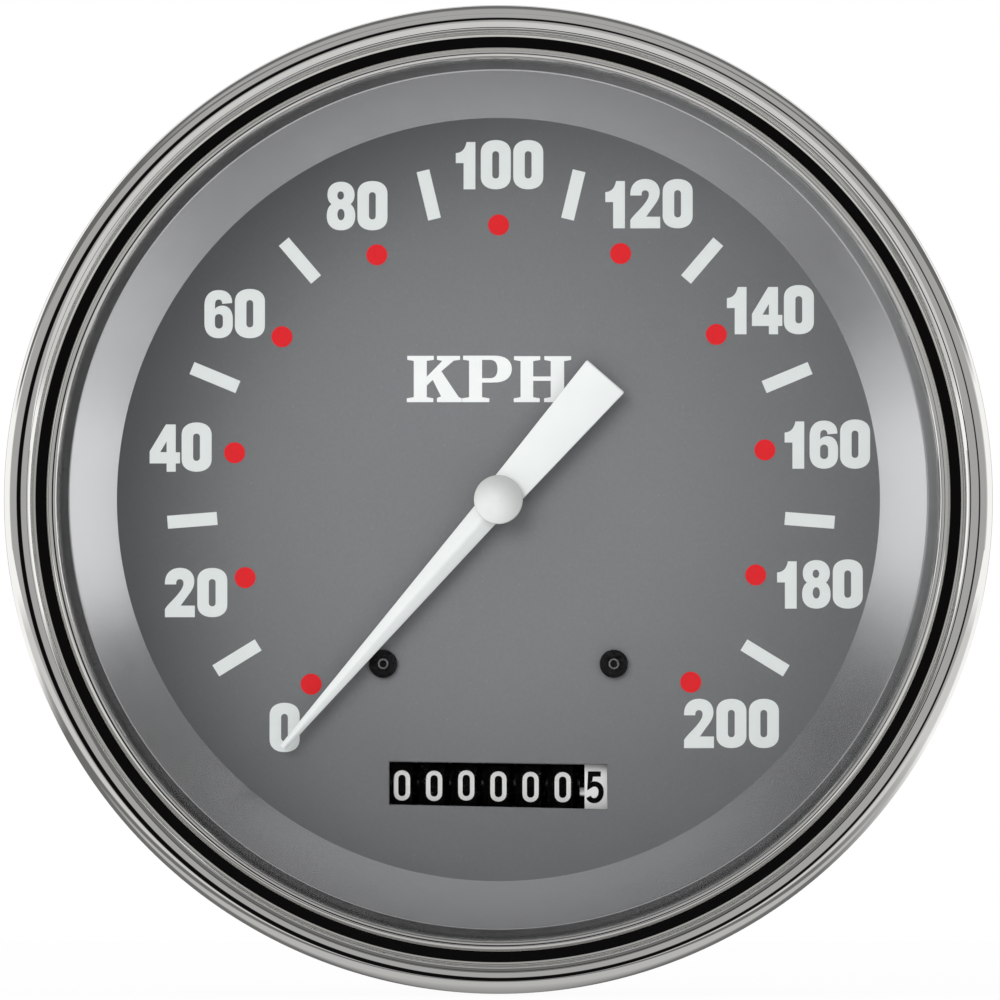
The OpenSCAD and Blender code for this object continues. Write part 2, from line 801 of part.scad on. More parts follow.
module spindle_bush() {
    color("gold") stand_up() drum(bush_r, plate_back_z, flux_cup_floor_z, spindle_r + run_clear);
}

module thrust_washer() {
    bore_r = spindle_r + run_clear;
    color("saddlebrown") stand_up()
        drum(bore_r + washer_w, housing_front_z, housing_front_z + washer_t, bore_r);
}

// Flanged housing with the rear bearing and the cable's threaded nipple
module drive_housing() {
    color("darkkhaki") stand_up() difference() {
        union() {
            drum(housing_flange_r, case_floor_z, housing_front_z);
            drum(housing_thread_r, nipple_front_z, case_floor_z);
            drum(nipple_r, nipple_back_z, case_floor_z);
        }
        drum(spindle_r + run_clear, mouth_floor_z - 1, housing_front_z + 1);
        drum(nipple_mouth_d / 2, nipple_back_z - 1, mouth_floor_z);
    }
}

module housing_nut() {
    flat_r = housing_nut_d / 2 * cos(30);
    color("silver") stand_up() translate([0, 0, case_back_z - housing_nut_t]) difference() {
        intersection() {
            cylinder(d = housing_nut_d, h = housing_nut_t, $fn = 6);
            // Turned corners on the side away from the case
            cylinder(r1 = flat_r, r2 = flat_r + housing_nut_t / tan(housing_nut_slope), h = housing_nut_t);
        }
        translate([0, 0, -1]) cylinder(r = housing_thread_r, h = housing_nut_t + 2);
    }
}

// Spindle with a collar, a square socket for the cable and a pivot hole at its front
module drive_spindle() {
    color("silver") stand_up() difference() {
        union() {
            drum(spindle_r, spindle_back_z, magnet_front_z);
            drum(spindle_r + run_clear + washer_w, collar_front_z - collar_t, collar_front_z);
        }
        translate([-socket_w / 2, -socket_w / 2, spindle_back_z - 1])
            cube([socket_w, socket_w, socket_len + 1]);
        drum(pointer_spindle_r + run_clear, magnet_front_z - pivot_len - pass_clear, magnet_front_z + 1);
    }
}

function worm_outline_r(turn) =
    turn <= worm_crest_turn ? worm_tip_r :
    turn >= worm_root_turn ? worm_root_r :
    worm_tip_r + (worm_root_r - worm_tip_r) * (turn - worm_crest_turn) / (worm_root_turn - worm_crest_turn);

// Single-start right-handed worm with the middle of its thread over the wheel
module drive_worm() {
    mesh_turn = -90 - 180 * worm_turns;
    color("peru") stand_up() translate([0, 0, worm_z - worm_len / 2]) difference() {
        rotate(mesh_turn) linear_extrude(
            worm_len, twist = -360 * worm_turns, slices = worm_slices * worm_turns, $fn = worm_sides
        )
            polygon([
                for (i = [0 : worm_sides - 1])
                    let (a = 360 * i / worm_sides)
                    polar(worm_outline_r(min(a, 360 - a)), a)
            ]);
        translate([0, 0, -1]) cylinder(r = spindle_r, h = worm_len + 2);
    }
}

module cross_shaft() {
    color("silver") stand_up()
        rod(cross_lug_x - shaft_end, first_gear_x + gear_w + shaft_end, cross, cross_shaft_r);
}

module worm_wheel() {
    gap_up = 180 / worm_wheel_teeth;
    color("peru") stand_up()
        gear(-worm_wheel_w / 2, cross, worm_wheel_teeth, worm_module, gap_up, cross_shaft_r, worm_wheel_w);
}

module cross_pinion() {
    color("gold") stand_up()
        gear(first_gear_x, cross, pinion_teeth, first_module, first_line, cross_shaft_r);
}

module idler_wheel() {
    tooth_at = first_line + 180 + 180 / train_wheel_teeth;
    color("gold") stand_up()
        gear(first_gear_x, idler, train_wheel_teeth, first_module, tooth_at, idler_shaft_r);
}

module idler_pinion() {
    color("gold") stand_up()
        gear(second_gear_x, idler, pinion_teeth, second_module, second_line, idler_shaft_r);
}

module idler_shaft() {
    color("silver") stand_up()
        rod(second_gear_x, first_gear_x + gear_w + shaft_end, idler, idler_shaft_r);
}

module counter_wheel() {
    tooth_at = second_line + 180 + 180 / train_wheel_teeth;
    bore_r = counter_axle_r + run_clear;
    color("gold") stand_up() {
        gear(second_gear_x, counter, train_wheel_teeth, second_module, tooth_at, bore_r);
        across(counter_end_x, counter) drum(counter_boss_r, 0, pass_clear, bore_r);
    }
}

module counter_axle() {
    color("silver") stand_up() rod(-ear_x - ear_t, ear_x + ear_t, counter, counter_axle_r);
}

module pinion_shaft() {
    color("silver") stand_up() rod(-ear_x - ear_t, ear_x + ear_t, pinion_axis, pinion_shaft_r);
}

function wheel_x(place) = ((wheel_count - 1) / 2 - place) * wheel_pitch;

// Locking disc with a notch and the two teeth that turn the next pinion
module lock_2d(teeth_at) {
    root_r = transfer_module * (transfer_teeth / 2 - tooth_root);
    difference() {
        circle(lock_r);
        difference() {
            rotate(teeth_at) wedge_2d(2 * lock_r, 360 / transfer_teeth);
            circle(root_r);
        }
    }
    intersection() {
        rotate(teeth_at + 180 / transfer_teeth) gear_2d(transfer_teeth, transfer_module);
        rotate(teeth_at) wedge_2d(2 * lock_r, 360 / transfer_teeth);
    }
}

// Number wheel, with place 0 for tenths: driven teeth on its right and a locking disc on its left
module number_wheel(place) {
    teeth_at = pinion_bearing + (place == 0 ? 5 : 1) * digit_turn;
    gap_at = pinion_bearing + 180 / transfer_teeth;
    left_x = wheel_x(place) - rim_w / 2;
    color(place == 0 ? "white" : "black") stand_up() across(left_x, counter) difference() {
        union() {
            cylinder(r = wheel_r, h = rim_w);
            if (place > 0)
                translate([0, 0, rim_w - side_w])
                    linear_extrude(2 * side_w) rotate(gap_at) gear_2d(transfer_teeth, transfer_module);
            if (place < wheel_count - 1)
                translate([0, 0, -side_w]) linear_extrude(2 * side_w) lock_2d(teeth_at);
        }
        translate([0, 0, -1]) cylinder(r = counter_axle_r + run_clear, h = rim_w + 2);
    }
}

// Pinion beside the number wheel that it drives: every second tooth is cut short
module transfer_pinion(place) {
    tooth_at = -pinion_bearing;
    half_teeth = 360 / transfer_pinion_teeth;
    left_x = wheel_x(place) + rim_w / 2 + pinion_side_clear;
    color("gold") stand_up() across(left_x, pinion_axis) difference() {
        union() {
            linear_extrude(side_w) rotate(tooth_at) gear_2d(transfer_pinion_teeth, transfer_module);
            linear_extrude(pinion_w) intersection() {
                rotate(tooth_at) gear_2d(transfer_pinion_teeth, transfer_module);
                for (i = [0 : 3])
                    rotate(tooth_at + half_teeth + 90 * i) wedge_2d(2 * transfer_reach, half_teeth / 2);
            }
            cylinder(r = transfer_module * (transfer_pinion_teeth / 2 - tooth_root), h = pinion_w);
        }
        translate([0, 0, -1]) cylinder(r = pinion_shaft_r + run_clear, h = pinion_w + 2);
    }
}

module mounting_studs() {
    color("silver") stand_up() at_studs() {
        drum(stud_d / 2, case_back_z - stud_len, case_back_z);
        drum(stud_neck_r, case_back_z, case_floor_z);
        drum(stud_flange_r, case_floor_z, case_floor_z + stud_flange_t);
    }
}

// Outline of a lamp holder's cap, fluted for the fingers
module lamp_cap_2d() {
    cap_r = lamp_neck_r + lamp_cap_w;
    difference() {
        circle(cap_r);
        for (flute = [0 : lamp_flutes - 1])
            rotate(flute * 360 / lamp_flutes)
                translate([cap_r + lamp_flute_r - lamp_flute_depth, 0]) circle(lamp_flute_r);
    }
}

module lamp_holders() {
    color("dimgray") stand_up() at_lamps() {
        translate([0, 0, case_back_z - lamp_cap_t]) linear_extrude(lamp_cap_t) lamp_cap_2d();
        drum(lamp_neck_r, case_back_z, case_floor_z + lamp_inner_len);
    }
}

module lamp_bulbs() {
    bulb_back_z = case_floor_z + lamp_inner_len;
    color("lightyellow") stand_up() at_lamps() {
        drum(bulb_r, bulb_back_z, bulb_back_z + bulb_len - bulb_r);
        translate([0, 0, bulb_back_z + bulb_len - bulb_r]) sphere(bulb_r);
    }
}

// Outline of a push-on terminal from its tip, with a hole that the connector snaps into
module terminal_2d() {
    half_w = terminal_size[0] / 2;
    tip_w = half_w - terminal_corner;
    side = [[half_w, terminal_corner], [half_w, terminal_size[2]]];
    difference() {
        polygon([[-tip_w, 0], [tip_w, 0], each side, [-half_w, side[1][1]], [-half_w, side[0][1]]]);
        translate([0, terminal_hole_at]) circle(d = terminal_hole_d);
    }
}

module lamp_terminals() {
    back_z = case_back_z - lamp_cap_t - terminal_size[2];
    color("gold") stand_up() at_lamps()
        translate([0, terminal_size[1] / 2, back_z])
            rotate([90, 0, 0]) linear_extrude(terminal_size[1]) terminal_2d();
}

bezel();
lens();
lens_gasket();
trim_ring();
case_shell();
dial_plate();
dial_screws();
pointer_needle();
pointer_cap();
pointer_spindle();
stop_arm();
hairspring_collet();
drag_cup();
bridge();
bridge_screws();
pointer_bush();
stop_pin();
hairspring();
hairspring_post();
flux_cup();
movement_frame();
movement_screws();
spindle_bush();
thrust_washer();
drive_housing();
housing_nut();
drive_spindle();
drive_worm();
magnet();
cross_shaft();
worm_wheel();
cross_pinion();
idler_shaft();
idler_wheel();
idler_pinion();
counter_axle();
counter_wheel();
pinion_shaft();
mounting_studs();
lamp_holders();
lamp_bulbs();
lamp_terminals();
for (i = [0 : wheel_count - 1])
    number_wheel(i);
for (i = [1 : wheel_count - 1])
    transfer_pinion(i);
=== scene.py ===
"""Looks of a vintage panel speedometer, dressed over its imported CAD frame.

Lengths are in millimetres until a mesh is made. A place on the instrument is
(x, z, f): x to the right and z up as seen from the front, f forwards from the
panel, so that world Y is -f.
"""

import json
import logging
import math
from collections.abc import Iterable, Sequence
from dataclasses import dataclass, field
from enum import Enum
from functools import cache

import bmesh
import bpy
from bmesh.types import BMesh
from bpy.types import Material, Node, NodeOutputs, NodeSocket, NodeTree, Object
from mathutils import Matrix, Vector
from mathutils.geometry import tessellate_polygon


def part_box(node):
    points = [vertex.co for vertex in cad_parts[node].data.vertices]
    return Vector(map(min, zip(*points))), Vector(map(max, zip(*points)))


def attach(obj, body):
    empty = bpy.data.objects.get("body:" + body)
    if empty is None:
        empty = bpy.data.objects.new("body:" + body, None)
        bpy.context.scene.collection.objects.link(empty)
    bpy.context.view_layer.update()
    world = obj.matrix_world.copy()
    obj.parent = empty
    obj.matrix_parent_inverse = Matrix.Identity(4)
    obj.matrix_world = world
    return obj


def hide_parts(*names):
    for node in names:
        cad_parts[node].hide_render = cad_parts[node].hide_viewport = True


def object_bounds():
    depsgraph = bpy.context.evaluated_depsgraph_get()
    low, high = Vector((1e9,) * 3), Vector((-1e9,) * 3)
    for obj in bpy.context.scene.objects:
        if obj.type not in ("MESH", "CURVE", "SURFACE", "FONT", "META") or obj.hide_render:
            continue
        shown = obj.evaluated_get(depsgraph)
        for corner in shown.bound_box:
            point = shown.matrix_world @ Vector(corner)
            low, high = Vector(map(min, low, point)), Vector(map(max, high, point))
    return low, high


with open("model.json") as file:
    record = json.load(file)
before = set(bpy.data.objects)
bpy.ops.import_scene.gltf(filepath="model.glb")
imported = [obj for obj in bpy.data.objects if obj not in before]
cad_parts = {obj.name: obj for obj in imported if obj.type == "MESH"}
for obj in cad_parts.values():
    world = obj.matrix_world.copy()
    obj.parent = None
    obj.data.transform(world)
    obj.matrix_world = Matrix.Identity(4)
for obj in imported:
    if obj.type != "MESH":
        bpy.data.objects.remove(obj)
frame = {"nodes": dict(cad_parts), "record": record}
CAD_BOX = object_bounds()

MM = 0.001
SAME_SPOT = 1e-6
MERGE_DIST = 1e-7
MITRE_LIMIT = 0.5
RELIEF_DEPTH = 0.2
LEAST_ROUGHNESS = 0.01
MARK_LEVEL = 0.72
MARK_SPREAD = 0.3
MARK_BLUR = 0.08
SCUFF_STRETCH = (1, 1, 6)
SEEN_RAYS = ("Is Camera Ray", "Is Glossy Ray", "Is Transmission Ray")
log = logging.getLogger("speedometer")

Point = tuple[float, float]
Colour = tuple[float, float, float]
Layout = tuple[NodeSocket, NodeSocket, NodeSocket]


def place(x: float, z: float, f: float) -> Vector:
    """Turn a place on the instrument into world metres."""
    return Vector((x * MM, -f * MM, z * MM))


def arc(centre: Point, radius: float, start: float, end: float, steps: int = 12) -> list[Point]:
    """Lay points along an arc.

    Args:
        centre: Centre of the arc.
        radius: Radius of the arc.
        start: Angle of the first point, in degrees.
        end: Angle of the last point, in degrees.
        steps: Number of chords.

    Returns:
        The points, both ends among them.
    """
    turns = [math.radians(start + (end - start) * i / steps) for i in range(steps + 1)]
    return [(centre[0] + radius * math.cos(a), centre[1] + radius * math.sin(a)) for a in turns]


def trace(path: str, steps: int = 8) -> list[list[Point]]:
    """Follow a drawing path made of M, L and C commands.

    Args:
        path: Points as "x,y", each command letter before its first point.
        steps: Number of chords in each curve.

    Returns:
        One list of points for each M.
    """
    loops: list[list[Point]] = []
    pending: list[Point] = []
    command = "M"
    for token in path.split():
        if token[0].isalpha():
            command, token = token[0], token[1:]
        x, y = (float(number) for number in token.split(","))
        if command == "M":
            loops.append([(x, y)])
            command = "L"
        elif command == "L":
            loops[-1].append((x, y))
        else:
            pending.append((x, y))
        if len(pending) == 3:
            loops[-1] += cubic(loops[-1][-1], *pending, steps)
            pending = []
    return loops


def cubic(a: Point, b: Point, c: Point, d: Point, steps: int) -> list[Point]:
    """Lay points along a cubic curve.

    Args:
        a: First end.
        b: First handle.
        c: Second handle.
        d: Second end.
        steps: Number of chords.

    Returns:
        The points after the first end.
    """
    points = []
    for i in range(1, steps + 1):
        t = i / steps
        w = ((1 - t) ** 3, 3 * t * (1 - t) ** 2, 3 * t * t * (1 - t), t**3)
        points.append(tuple(sum(k * p[n] for k, p in zip(w, (a, b, c, d))) for n in (0, 1)))
    return points


def lathe(bm: BMesh, profile: Sequence[Point], centre: Point = (0, 0), segments: int = 192) -> None:
    """Turn a profile about an axis that runs front to back.

    Args:
        bm: Mesh that takes the turned surface.
        profile: Points as (radius, f), the last one joined to the first.
        centre: The axis, as (x, z).
        segments: Steps in a full turn.
    """
    turns = [2 * math.pi * i / segments for i in range(segments)]
    rings = []
    for r, f in profile:
        if r == 0:
            rings.append([bm.verts.new(place(*centre, f))] * segments)
        else:
            at = [(centre[0] + r * math.cos(a), centre[1] + r * math.sin(a)) for a in turns]
            rings.append([bm.verts.new(place(x, z, f)) for x, z in at])
    for ring, other in zip(rings, rings[1:] + rings[:1]):
        for i in range(segments):
            corners = dict.fromkeys((ring[i - 1], ring[i], other[i], other[i - 1]))
            if len(corners) > 2:
                bm.faces.new(corners)


def prism(bm: BMesh, loops: Sequence[Sequence[Point]], back: float, front: float) -> None:
    """Raise a flat outline, with its holes, into a thin solid.

    Args:
        bm: Mesh that takes the solid.
        loops: The outline and then its holes, as (x, z).
        back: Level of the back face.
        front: Level of the front face.
    """
    rings = [ring[:-1] if ring[0] == ring[-1] else ring for ring in map(list, loops)]
    flat = [(x, z) for ring in rings for x, z in ring]
    corners = tessellate_polygon([[Vector((x, z, 0)) for x, z in ring] for ring in rings])
    levels = [[bm.verts.new(place(x, z, f)) for x, z in flat] for f in (back, front)]
    for level in levels:
        for triangle in corners:
            bm.faces.new([level[i] for i in triangle])
    start = 0
    for ring in rings:
        count = len(ring)
        for i in range(count):
            a, b = start + i, start + (i + 1) % count
            bm.faces.new((levels[0][a], levels[0][b], levels[1][b], levels[1][a]))
        start += count


def ribbon(line: Sequence[Point], width: float) -> list[Point]:
    """Widen an open line into the outline of a stroke.

    Args:
        line: Points of the stroke's middle.
        width: Width of the stroke.

    Returns:
        The outline, out along one side and back along the other.
    """
    sides: tuple[list[Point], list[Point]] = ([], [])
    for i, here in enumerate(line):
        before = Vector(here) - Vector(line[max(i - 1, 0)])
        after = Vector(line[min(i + 1, len(line) - 1)]) - Vector(here)
        ways = [v.normalized() for v in (before, after) if v.length > 0]
        along = sum(ways, Vector((0, 0))).normalized()
        mitre = width / 2 / max(along.dot(ways[0]), MITRE_LIMIT)
        for side, sign in zip(sides, (1, -1)):
            side.append((here[0] - sign * along.y * mitre, here[1] + sign * along.x * mitre))
    return sides[0] + sides[1][::-1]


def make_object(name: str, bm: BMesh, material: Material, sharp: float = 35) -> Object:
    """Turn a built mesh into a smooth-shaded object.

    Args:
        name: Name of the piece.
        bm: The built mesh, which is freed.
        material: Its material.
        sharp: Angle above which an edge stays sharp, in degrees.

    Returns:
        The new object.
    """
    bmesh.ops.remove_doubles(bm, verts=bm.verts, dist=MERGE_DIST)
    bmesh.ops.recalc_face_normals(bm, faces=bm.faces)
    mesh = bpy.data.meshes.new(name)
    bm.to_mesh(mesh)
    bm.free()
    mesh.materials.append(material)
    mesh.shade_smooth()
    mesh.set_sharp_from_angle(angle=math.radians(sharp))
    obj = bpy.data.objects.new(name, mesh)
    bpy.context.scene.collection.objects.link(obj)
    return obj


def slot_of(node: str) -> str:
    """Look up the record's material slot of a CAD node."""
    return next(part["material_slot"] for part in frame["record"]["subparts"] if part["node"] == node)


def box_mm(node: str) -> tuple[Vector, ...]:
    """Find the low and high corners of a CAD node, in millimetres."""
    return tuple(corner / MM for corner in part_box(node))


def fit(obj: Object, body: str = "instrument", node: str = "") -> None:
    """Hang a finished piece on its body, hiding the CAD node that it stands for.

    Args:
        obj: The piece.
        body: CAD body that it rides on.
        node: CAD node that it stands for, if any, which is hidden.
    """
    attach(obj, body)
    if node:
        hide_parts(node)
    log.info("%s rides on %s", obj.name, body)


class NodeBench:
    """Places and links the nodes of one tree."""

    def __init__(self, tree: NodeTree) -> None:
        """Start on a tree."""
        self.tree = tree

    def add(self, kind: str, inputs: dict | None = None, **settings: object) -> Node:
        """Add a node.

        Args:
            kind: Blender's name for the node.
            inputs: A value or a socket to link, for each input's name or number.
            **settings: Properties of the node.

        Returns:
            The new node.
        """
        node = self.tree.nodes.new(kind)
        for name, value in settings.items():
            setattr(node, name, value)
        for key, value in (inputs or {}).items():
            if isinstance(value, NodeSocket):
                self.tree.links.new(value, node.inputs[key])
            else:
                node.inputs[key].default_value = value
        return node

    def math(self, operation: str, *values: object) -> NodeSocket:
        """Add a Math node and give its result."""
        return self.add("ShaderNodeMath", dict(enumerate(values)), operation=operation).outputs[0]

    def any_ray(self, *kinds: str) -> NodeSocket:
        """Give a mask of the rays that are of any of these kinds.

        Args:
            *kinds: Outputs of the Light Path node.

        Returns:
            The mask's socket.
        """
        rays = self.add("ShaderNodeLightPath").outputs
        mask = rays[kinds[0]]
        for kind in kinds[1:]:
            mask = self.math("MAXIMUM", mask, rays[kind])
        return mask


class Effect(Enum):
    """Surface effects that several finishes share, each one node group."""

    GRAIN = "surface_grain"
    SPECKLE = "fine_speckle"
    TURNED = "turned_lines"
    SCUFFS = "light_scuffs"
    # Painted shade: darkens the colour away from a middle, standing in for shadow and the fall of light.
    FADE = "sun_fade"

    @cache
    def tree(self) -> NodeTree:
        """Build the effect's node group, once.

        Returns:
            The group's tree.
        """
        made = bpy.data.node_groups.new(self.value, "ShaderNodeTree")
        made.interface.new_socket("Size", in_out="INPUT", socket_type="NodeSocketFloat")
        made.interface.new_socket("Share", in_out="INPUT", socket_type="NodeSocketFloat")
        made.interface.new_socket("Middle", in_out="INPUT", socket_type="NodeSocketVector")
        made.interface.new_socket("Value", in_out="OUTPUT", socket_type="NodeSocketFloat")
        bench = NodeBench(made)
        given = bench.add("NodeGroupInput")
        bench.add("NodeGroupOutput", {"Value": self.value_of(bench, given)})
        return made

    def value_of(self, bench: NodeBench, given: Node) -> NodeSocket:
        """Build the nodes of the effect.

        Args:
            bench: Bench of the group's tree.
            given: The group's input node, with Size in millimetres, Share from 0 to 1
                and Middle as a place in metres.

        Returns:
            The socket that carries the effect, from 0 to 1.
        """
        spot = bench.add("ShaderNodeTexCoord").outputs["Object"]
        spot = bench.add(
            "ShaderNodeVectorMath", {0: spot, 1: given.outputs["Middle"]}, operation="SUBTRACT"
        ).outputs[0]
        scale = bench.math("DIVIDE", 1 / MM, given.outputs["Size"])
        if self in (Effect.TURNED, Effect.FADE):
            flat = bench.add("ShaderNodeVectorMath", {0: spot, 1: (1, 0, 1)}, operation="MULTIPLY")
            length = bench.add("ShaderNodeVectorMath", {0: flat.outputs[0]}, operation="LENGTH")
            across = bench.math("MULTIPLY", length.outputs["Value"], scale)
            # Painted shade: a smooth ramp from the start radius to the end radius.
            if self is Effect.FADE:
                ramp = {"Value": across, "From Min": given.outputs["Share"], "From Max": 1.0}
                return bench.add("ShaderNodeMapRange", ramp, interpolation_type="SMOOTHSTEP").outputs[0]
            lines = bench.add(
                "ShaderNodeTexNoise", {"W": across, "Scale": 1.0, "Detail": 2.0}, noise_dimensions="1D"
            )
            return lines.outputs["Fac"]
        if self is Effect.SCUFFS:
            spot = bench.add("ShaderNodeMapping", {"Vector": spot, "Scale": SCUFF_STRETCH}).outputs[0]
        noise = bench.add("ShaderNodeTexNoise", {"Vector": spot, "Scale": scale, "Detail": 4.0})
        if self is Effect.GRAIN:
            return noise.outputs["Fac"]
        spread = bench.math("MULTIPLY", given.outputs["Share"], MARK_SPREAD)
        edge = bench.math("SUBTRACT", MARK_LEVEL, spread)
        full = bench.math("ADD", edge, MARK_BLUR)
        ramp = {"Value": noise.outputs["Fac"], "From Min": edge, "From Max": full}
        return bench.add("ShaderNodeMapRange", ramp).outputs[0]


@dataclass(frozen=True)
class PaintedShade:
    """A painted shade: a soft darkening of the colour away from a middle, from a start to an end radius,
    that stands in for shadow.
    """

    middle: Point
    start: float
    end: float
    depth: float


@dataclass(frozen=True)
class Finish:
    """A finish whose colour, gloss and surface wander with a fine grain.

    Attributes:
        name: Name of the finish.
        colour: Middle of the colour, linear.
        roughness: Middle of the roughness.
        metallic: 1 for metals.
        grain: Size of the grain, in millimetres.
        tone: Share by which the colour wanders.
        gloss: How far the roughness wanders.
        bump: Strength of the relief.
        relief: Effect that makes the relief.
        relief_size: Size of the relief, in millimetres.
        marks: Effect that lays marks over the colour, if any.
        mark_size: Size of the marks, in millimetres.
        mark_share: How much of the surface the marks take.
        mark_colour: Colour of the marks.
        specular: Strength of the shine of paints and resins.
        painted_shades: Painted shade, soft darkenings of the colour that stand in for shadow.
    """

    name: str
    colour: Colour
    roughness: float
    metallic: float = 0.0
    grain: float = 1.5
    tone: float = 0.08
    gloss: float = 0.06
    bump: float = 0.02
    relief: Effect = Effect.GRAIN
    relief_size: float = 0.2
    marks: Effect | None = None
    mark_size: float = 1.0
    mark_share: float = 0.3
    mark_colour: Colour = (0.5, 0.5, 0.5)
    specular: float = 0.5
    painted_shades: tuple[PaintedShade, ...] = ()

    @cache
    def material(self) -> Material:
        """Build the finish's material, once.

        Returns:
            The material, the same one at every call.
        """
        made = bpy.data.materials.new(f"{self.name}_finish")
        made.use_nodes = True
        made.node_tree.nodes.clear()
        bench = NodeBench(made.node_tree)
        bench.add("ShaderNodeOutputMaterial", {"Surface": self.surface(bench)})
        return made

    def effect(
        self, bench: NodeBench, effect: Effect, size: float, share: float = 0.5, middle: Point = (0, 0)
    ) -> NodeSocket:
        """Place a shared effect.

        Args:
            bench: Bench of the material's tree.
            effect: Which effect.
            size: Its scale, in millimetres.
            share: How much of the surface it takes.
            middle: Where it is centred, as (x, z).

        Returns:
            Its value.
        """
        node = bench.add("ShaderNodeGroup", node_tree=effect.tree())
        node.inputs["Size"].default_value = size
        node.inputs["Share"].default_value = share
        node.inputs["Middle"].default_value = place(*middle, 0)
        return node.outputs["Value"]

    def surface(self, bench: NodeBench) -> NodeSocket:
        """Build the shader.

        Args:
            bench: Bench of the material's tree.

        Returns:
            The shader's socket.
        """
        grain = self.effect(bench, Effect.GRAIN, self.grain)
        shares = (1 - self.tone, 1 + self.tone)
        dark, light = (tuple(min(part * share, 1) for part in self.colour) + (1,) for share in shares)
        colour = bench.add("ShaderNodeMix", {0: grain, 6: dark, 7: light}, data_type="RGBA").outputs[2]
        if self.marks:
            mask = self.effect(bench, self.marks, self.mark_size, self.mark_share)
            mark = self.mark_colour + (1,)
            colour = bench.add("ShaderNodeMix", {0: mask, 6: colour, 7: mark}, data_type="RGBA").outputs[2]
        # Painted shade: each ramp darkens the colour where shadow would fall.
        for painted_shade in self.painted_shades:
            mask = self.effect(bench, Effect.FADE, painted_shade.end, painted_shade.start / painted_shade.end, painted_shade.middle)
            dark = (1 - painted_shade.depth,) * 3 + (1,)
            dimmed = bench.add(
                "ShaderNodeMix", {0: mask, 6: colour, 7: dark}, data_type="RGBA", blend_type="MULTIPLY"
            )
            colour = dimmed.outputs[2]
        gloss = bench.add(
            "ShaderNodeMapRange",
            {
                "Value": grain,
                "To Min": max(self.roughness - self.gloss, LEAST_ROUGHNESS),
                "To Max": self.roughness + self.gloss,
            },
        )
        height = self.effect(bench, self.relief, self.relief_size)
        normal = bench.add(
            "ShaderNodeBump", {"Strength": self.bump, "Distance": RELIEF_DEPTH * MM, "Height": height}
        )
        shader = bench.add(
            "ShaderNodeBsdfPrincipled",
            {
                "Base Color": colour,
                "Metallic": self.metallic,
                "Roughness": gloss.outputs[0],
                "Specular IOR Level": self.specular,
                "Normal": normal.outputs[0],
            },
        )
        return shader.outputs[0]


@dataclass(frozen=True)
class ClearGlass(Finish):
    """Clear glass that lets light fall through it on what lies behind.

    It shines only where it is seen at a slant, as bloomed glass does.
    """

    ior: float = 1.46
    slant: Point = (0.02, 0.3)

    def surface(self, bench: NodeBench) -> NodeSocket:
        """Build the shader.

        Args:
            bench: Bench of the material's tree.

        Returns:
            The shader's socket.
        """
        smears = self.effect(bench, Effect.GRAIN, self.grain)
        gloss = bench.add("ShaderNodeMapRange", {"Value": smears, "To Min": 0.0, "To Max": self.roughness})
        facing = bench.add("ShaderNodeLayerWeight", {"Blend": 0.5}).outputs["Facing"]
        low, high = self.slant
        sheen = bench.add("ShaderNodeMapRange", {"Value": facing, "From Min": low, "From Max": high})
        glass = bench.add(
            "ShaderNodeBsdfPrincipled",
            {
                "Base Color": self.colour + (1,),
                "Roughness": gloss.outputs[0],
                "IOR": self.ior,
                "Specular Tint": sheen.outputs[0],
                "Transmission Weight": 1.0,
            },
        )
        passing = bench.any_ray("Is Shadow Ray", "Is Diffuse Ray", "Is Glossy Ray")
        clear = bench.add("ShaderNodeBsdfTransparent")
        mixed = bench.add("ShaderNodeMixShader", {0: passing, 1: glass.outputs[0], 2: clear.outputs[0]})
        return mixed.outputs[0]


@dataclass(frozen=True)
class Metal(Finish):
    """A bare or plated metal."""

    metallic: float = 1.0


@dataclass(frozen=True)
class Ink(Finish):
    """A thin, dull print."""

    roughness: float = 0.5
    grain: float = 2
    tone: float = 0.03
    gloss: float = 0.05
    specular: float = 0.3


CHROME = Metal(
    "bright_chrome", (0.90, 0.893, 0.87), 0.02, grain=12, tone=0.03, gloss=0.01, bump=0.002, relief_size=3
)
SATIN = Metal(
    "spun_satin", (0.76, 0.77, 0.78), 0.25, grain=4, tone=0.04, gloss=0.02, bump=0.008,
    relief=Effect.TURNED, relief_size=0.25,
)
LENS_GLASS = ClearGlass("lens_glass", (1, 1, 1), 0.01, grain=30)
BULB_GLASS = ClearGlass("bulb_glass", (1, 0.98, 0.94), 0.03, grain=5)
DIAL_PAINT = Finish(
    "dial_grey", (0.195, 0.200, 0.208), 0.62, grain=0.5, tone=0.07, gloss=0.05, bump=0.05, relief_size=0.15,
    marks=Effect.SPECKLE, mark_size=0.35, mark_share=0.2, mark_colour=(0.23, 0.235, 0.24), specular=0.3,
    # Painted shade on the dial: darker towards its rim, and darker still round the top-left rim, standing in
    # for the shadow of the bezel and trim ring.
    painted_shades=(PaintedShade((0, 0), 16, 54, 0.32), PaintedShade((12, -6), 42, 64, 0.47)),
)
PRINT_WHITE = Ink("print_white", (0.70, 0.74, 0.725))
PRINT_BRIGHT = Ink("print_bright", (0.86, 0.89, 0.88))
PRINT_RED = Ink("print_red", (0.70, 0.010, 0.016), grain=1, tone=0.05)
FIGURE_WHITE = Ink("figure_white", (0.66, 0.67, 0.65), grain=0.5, tone=0.10, bump=0.03, specular=0.5)
FIGURE_BLACK = Ink("figure_black", (0.004, 0.004, 0.004), grain=0.5, tone=0.2, bump=0.03, specular=0.05)
NEEDLE_PAINT = Finish(
    "needle_white", (0.83, 0.86, 0.85), 0.42, grain=3, tone=0.02, gloss=0.05, bump=0.015, specular=0.4
)
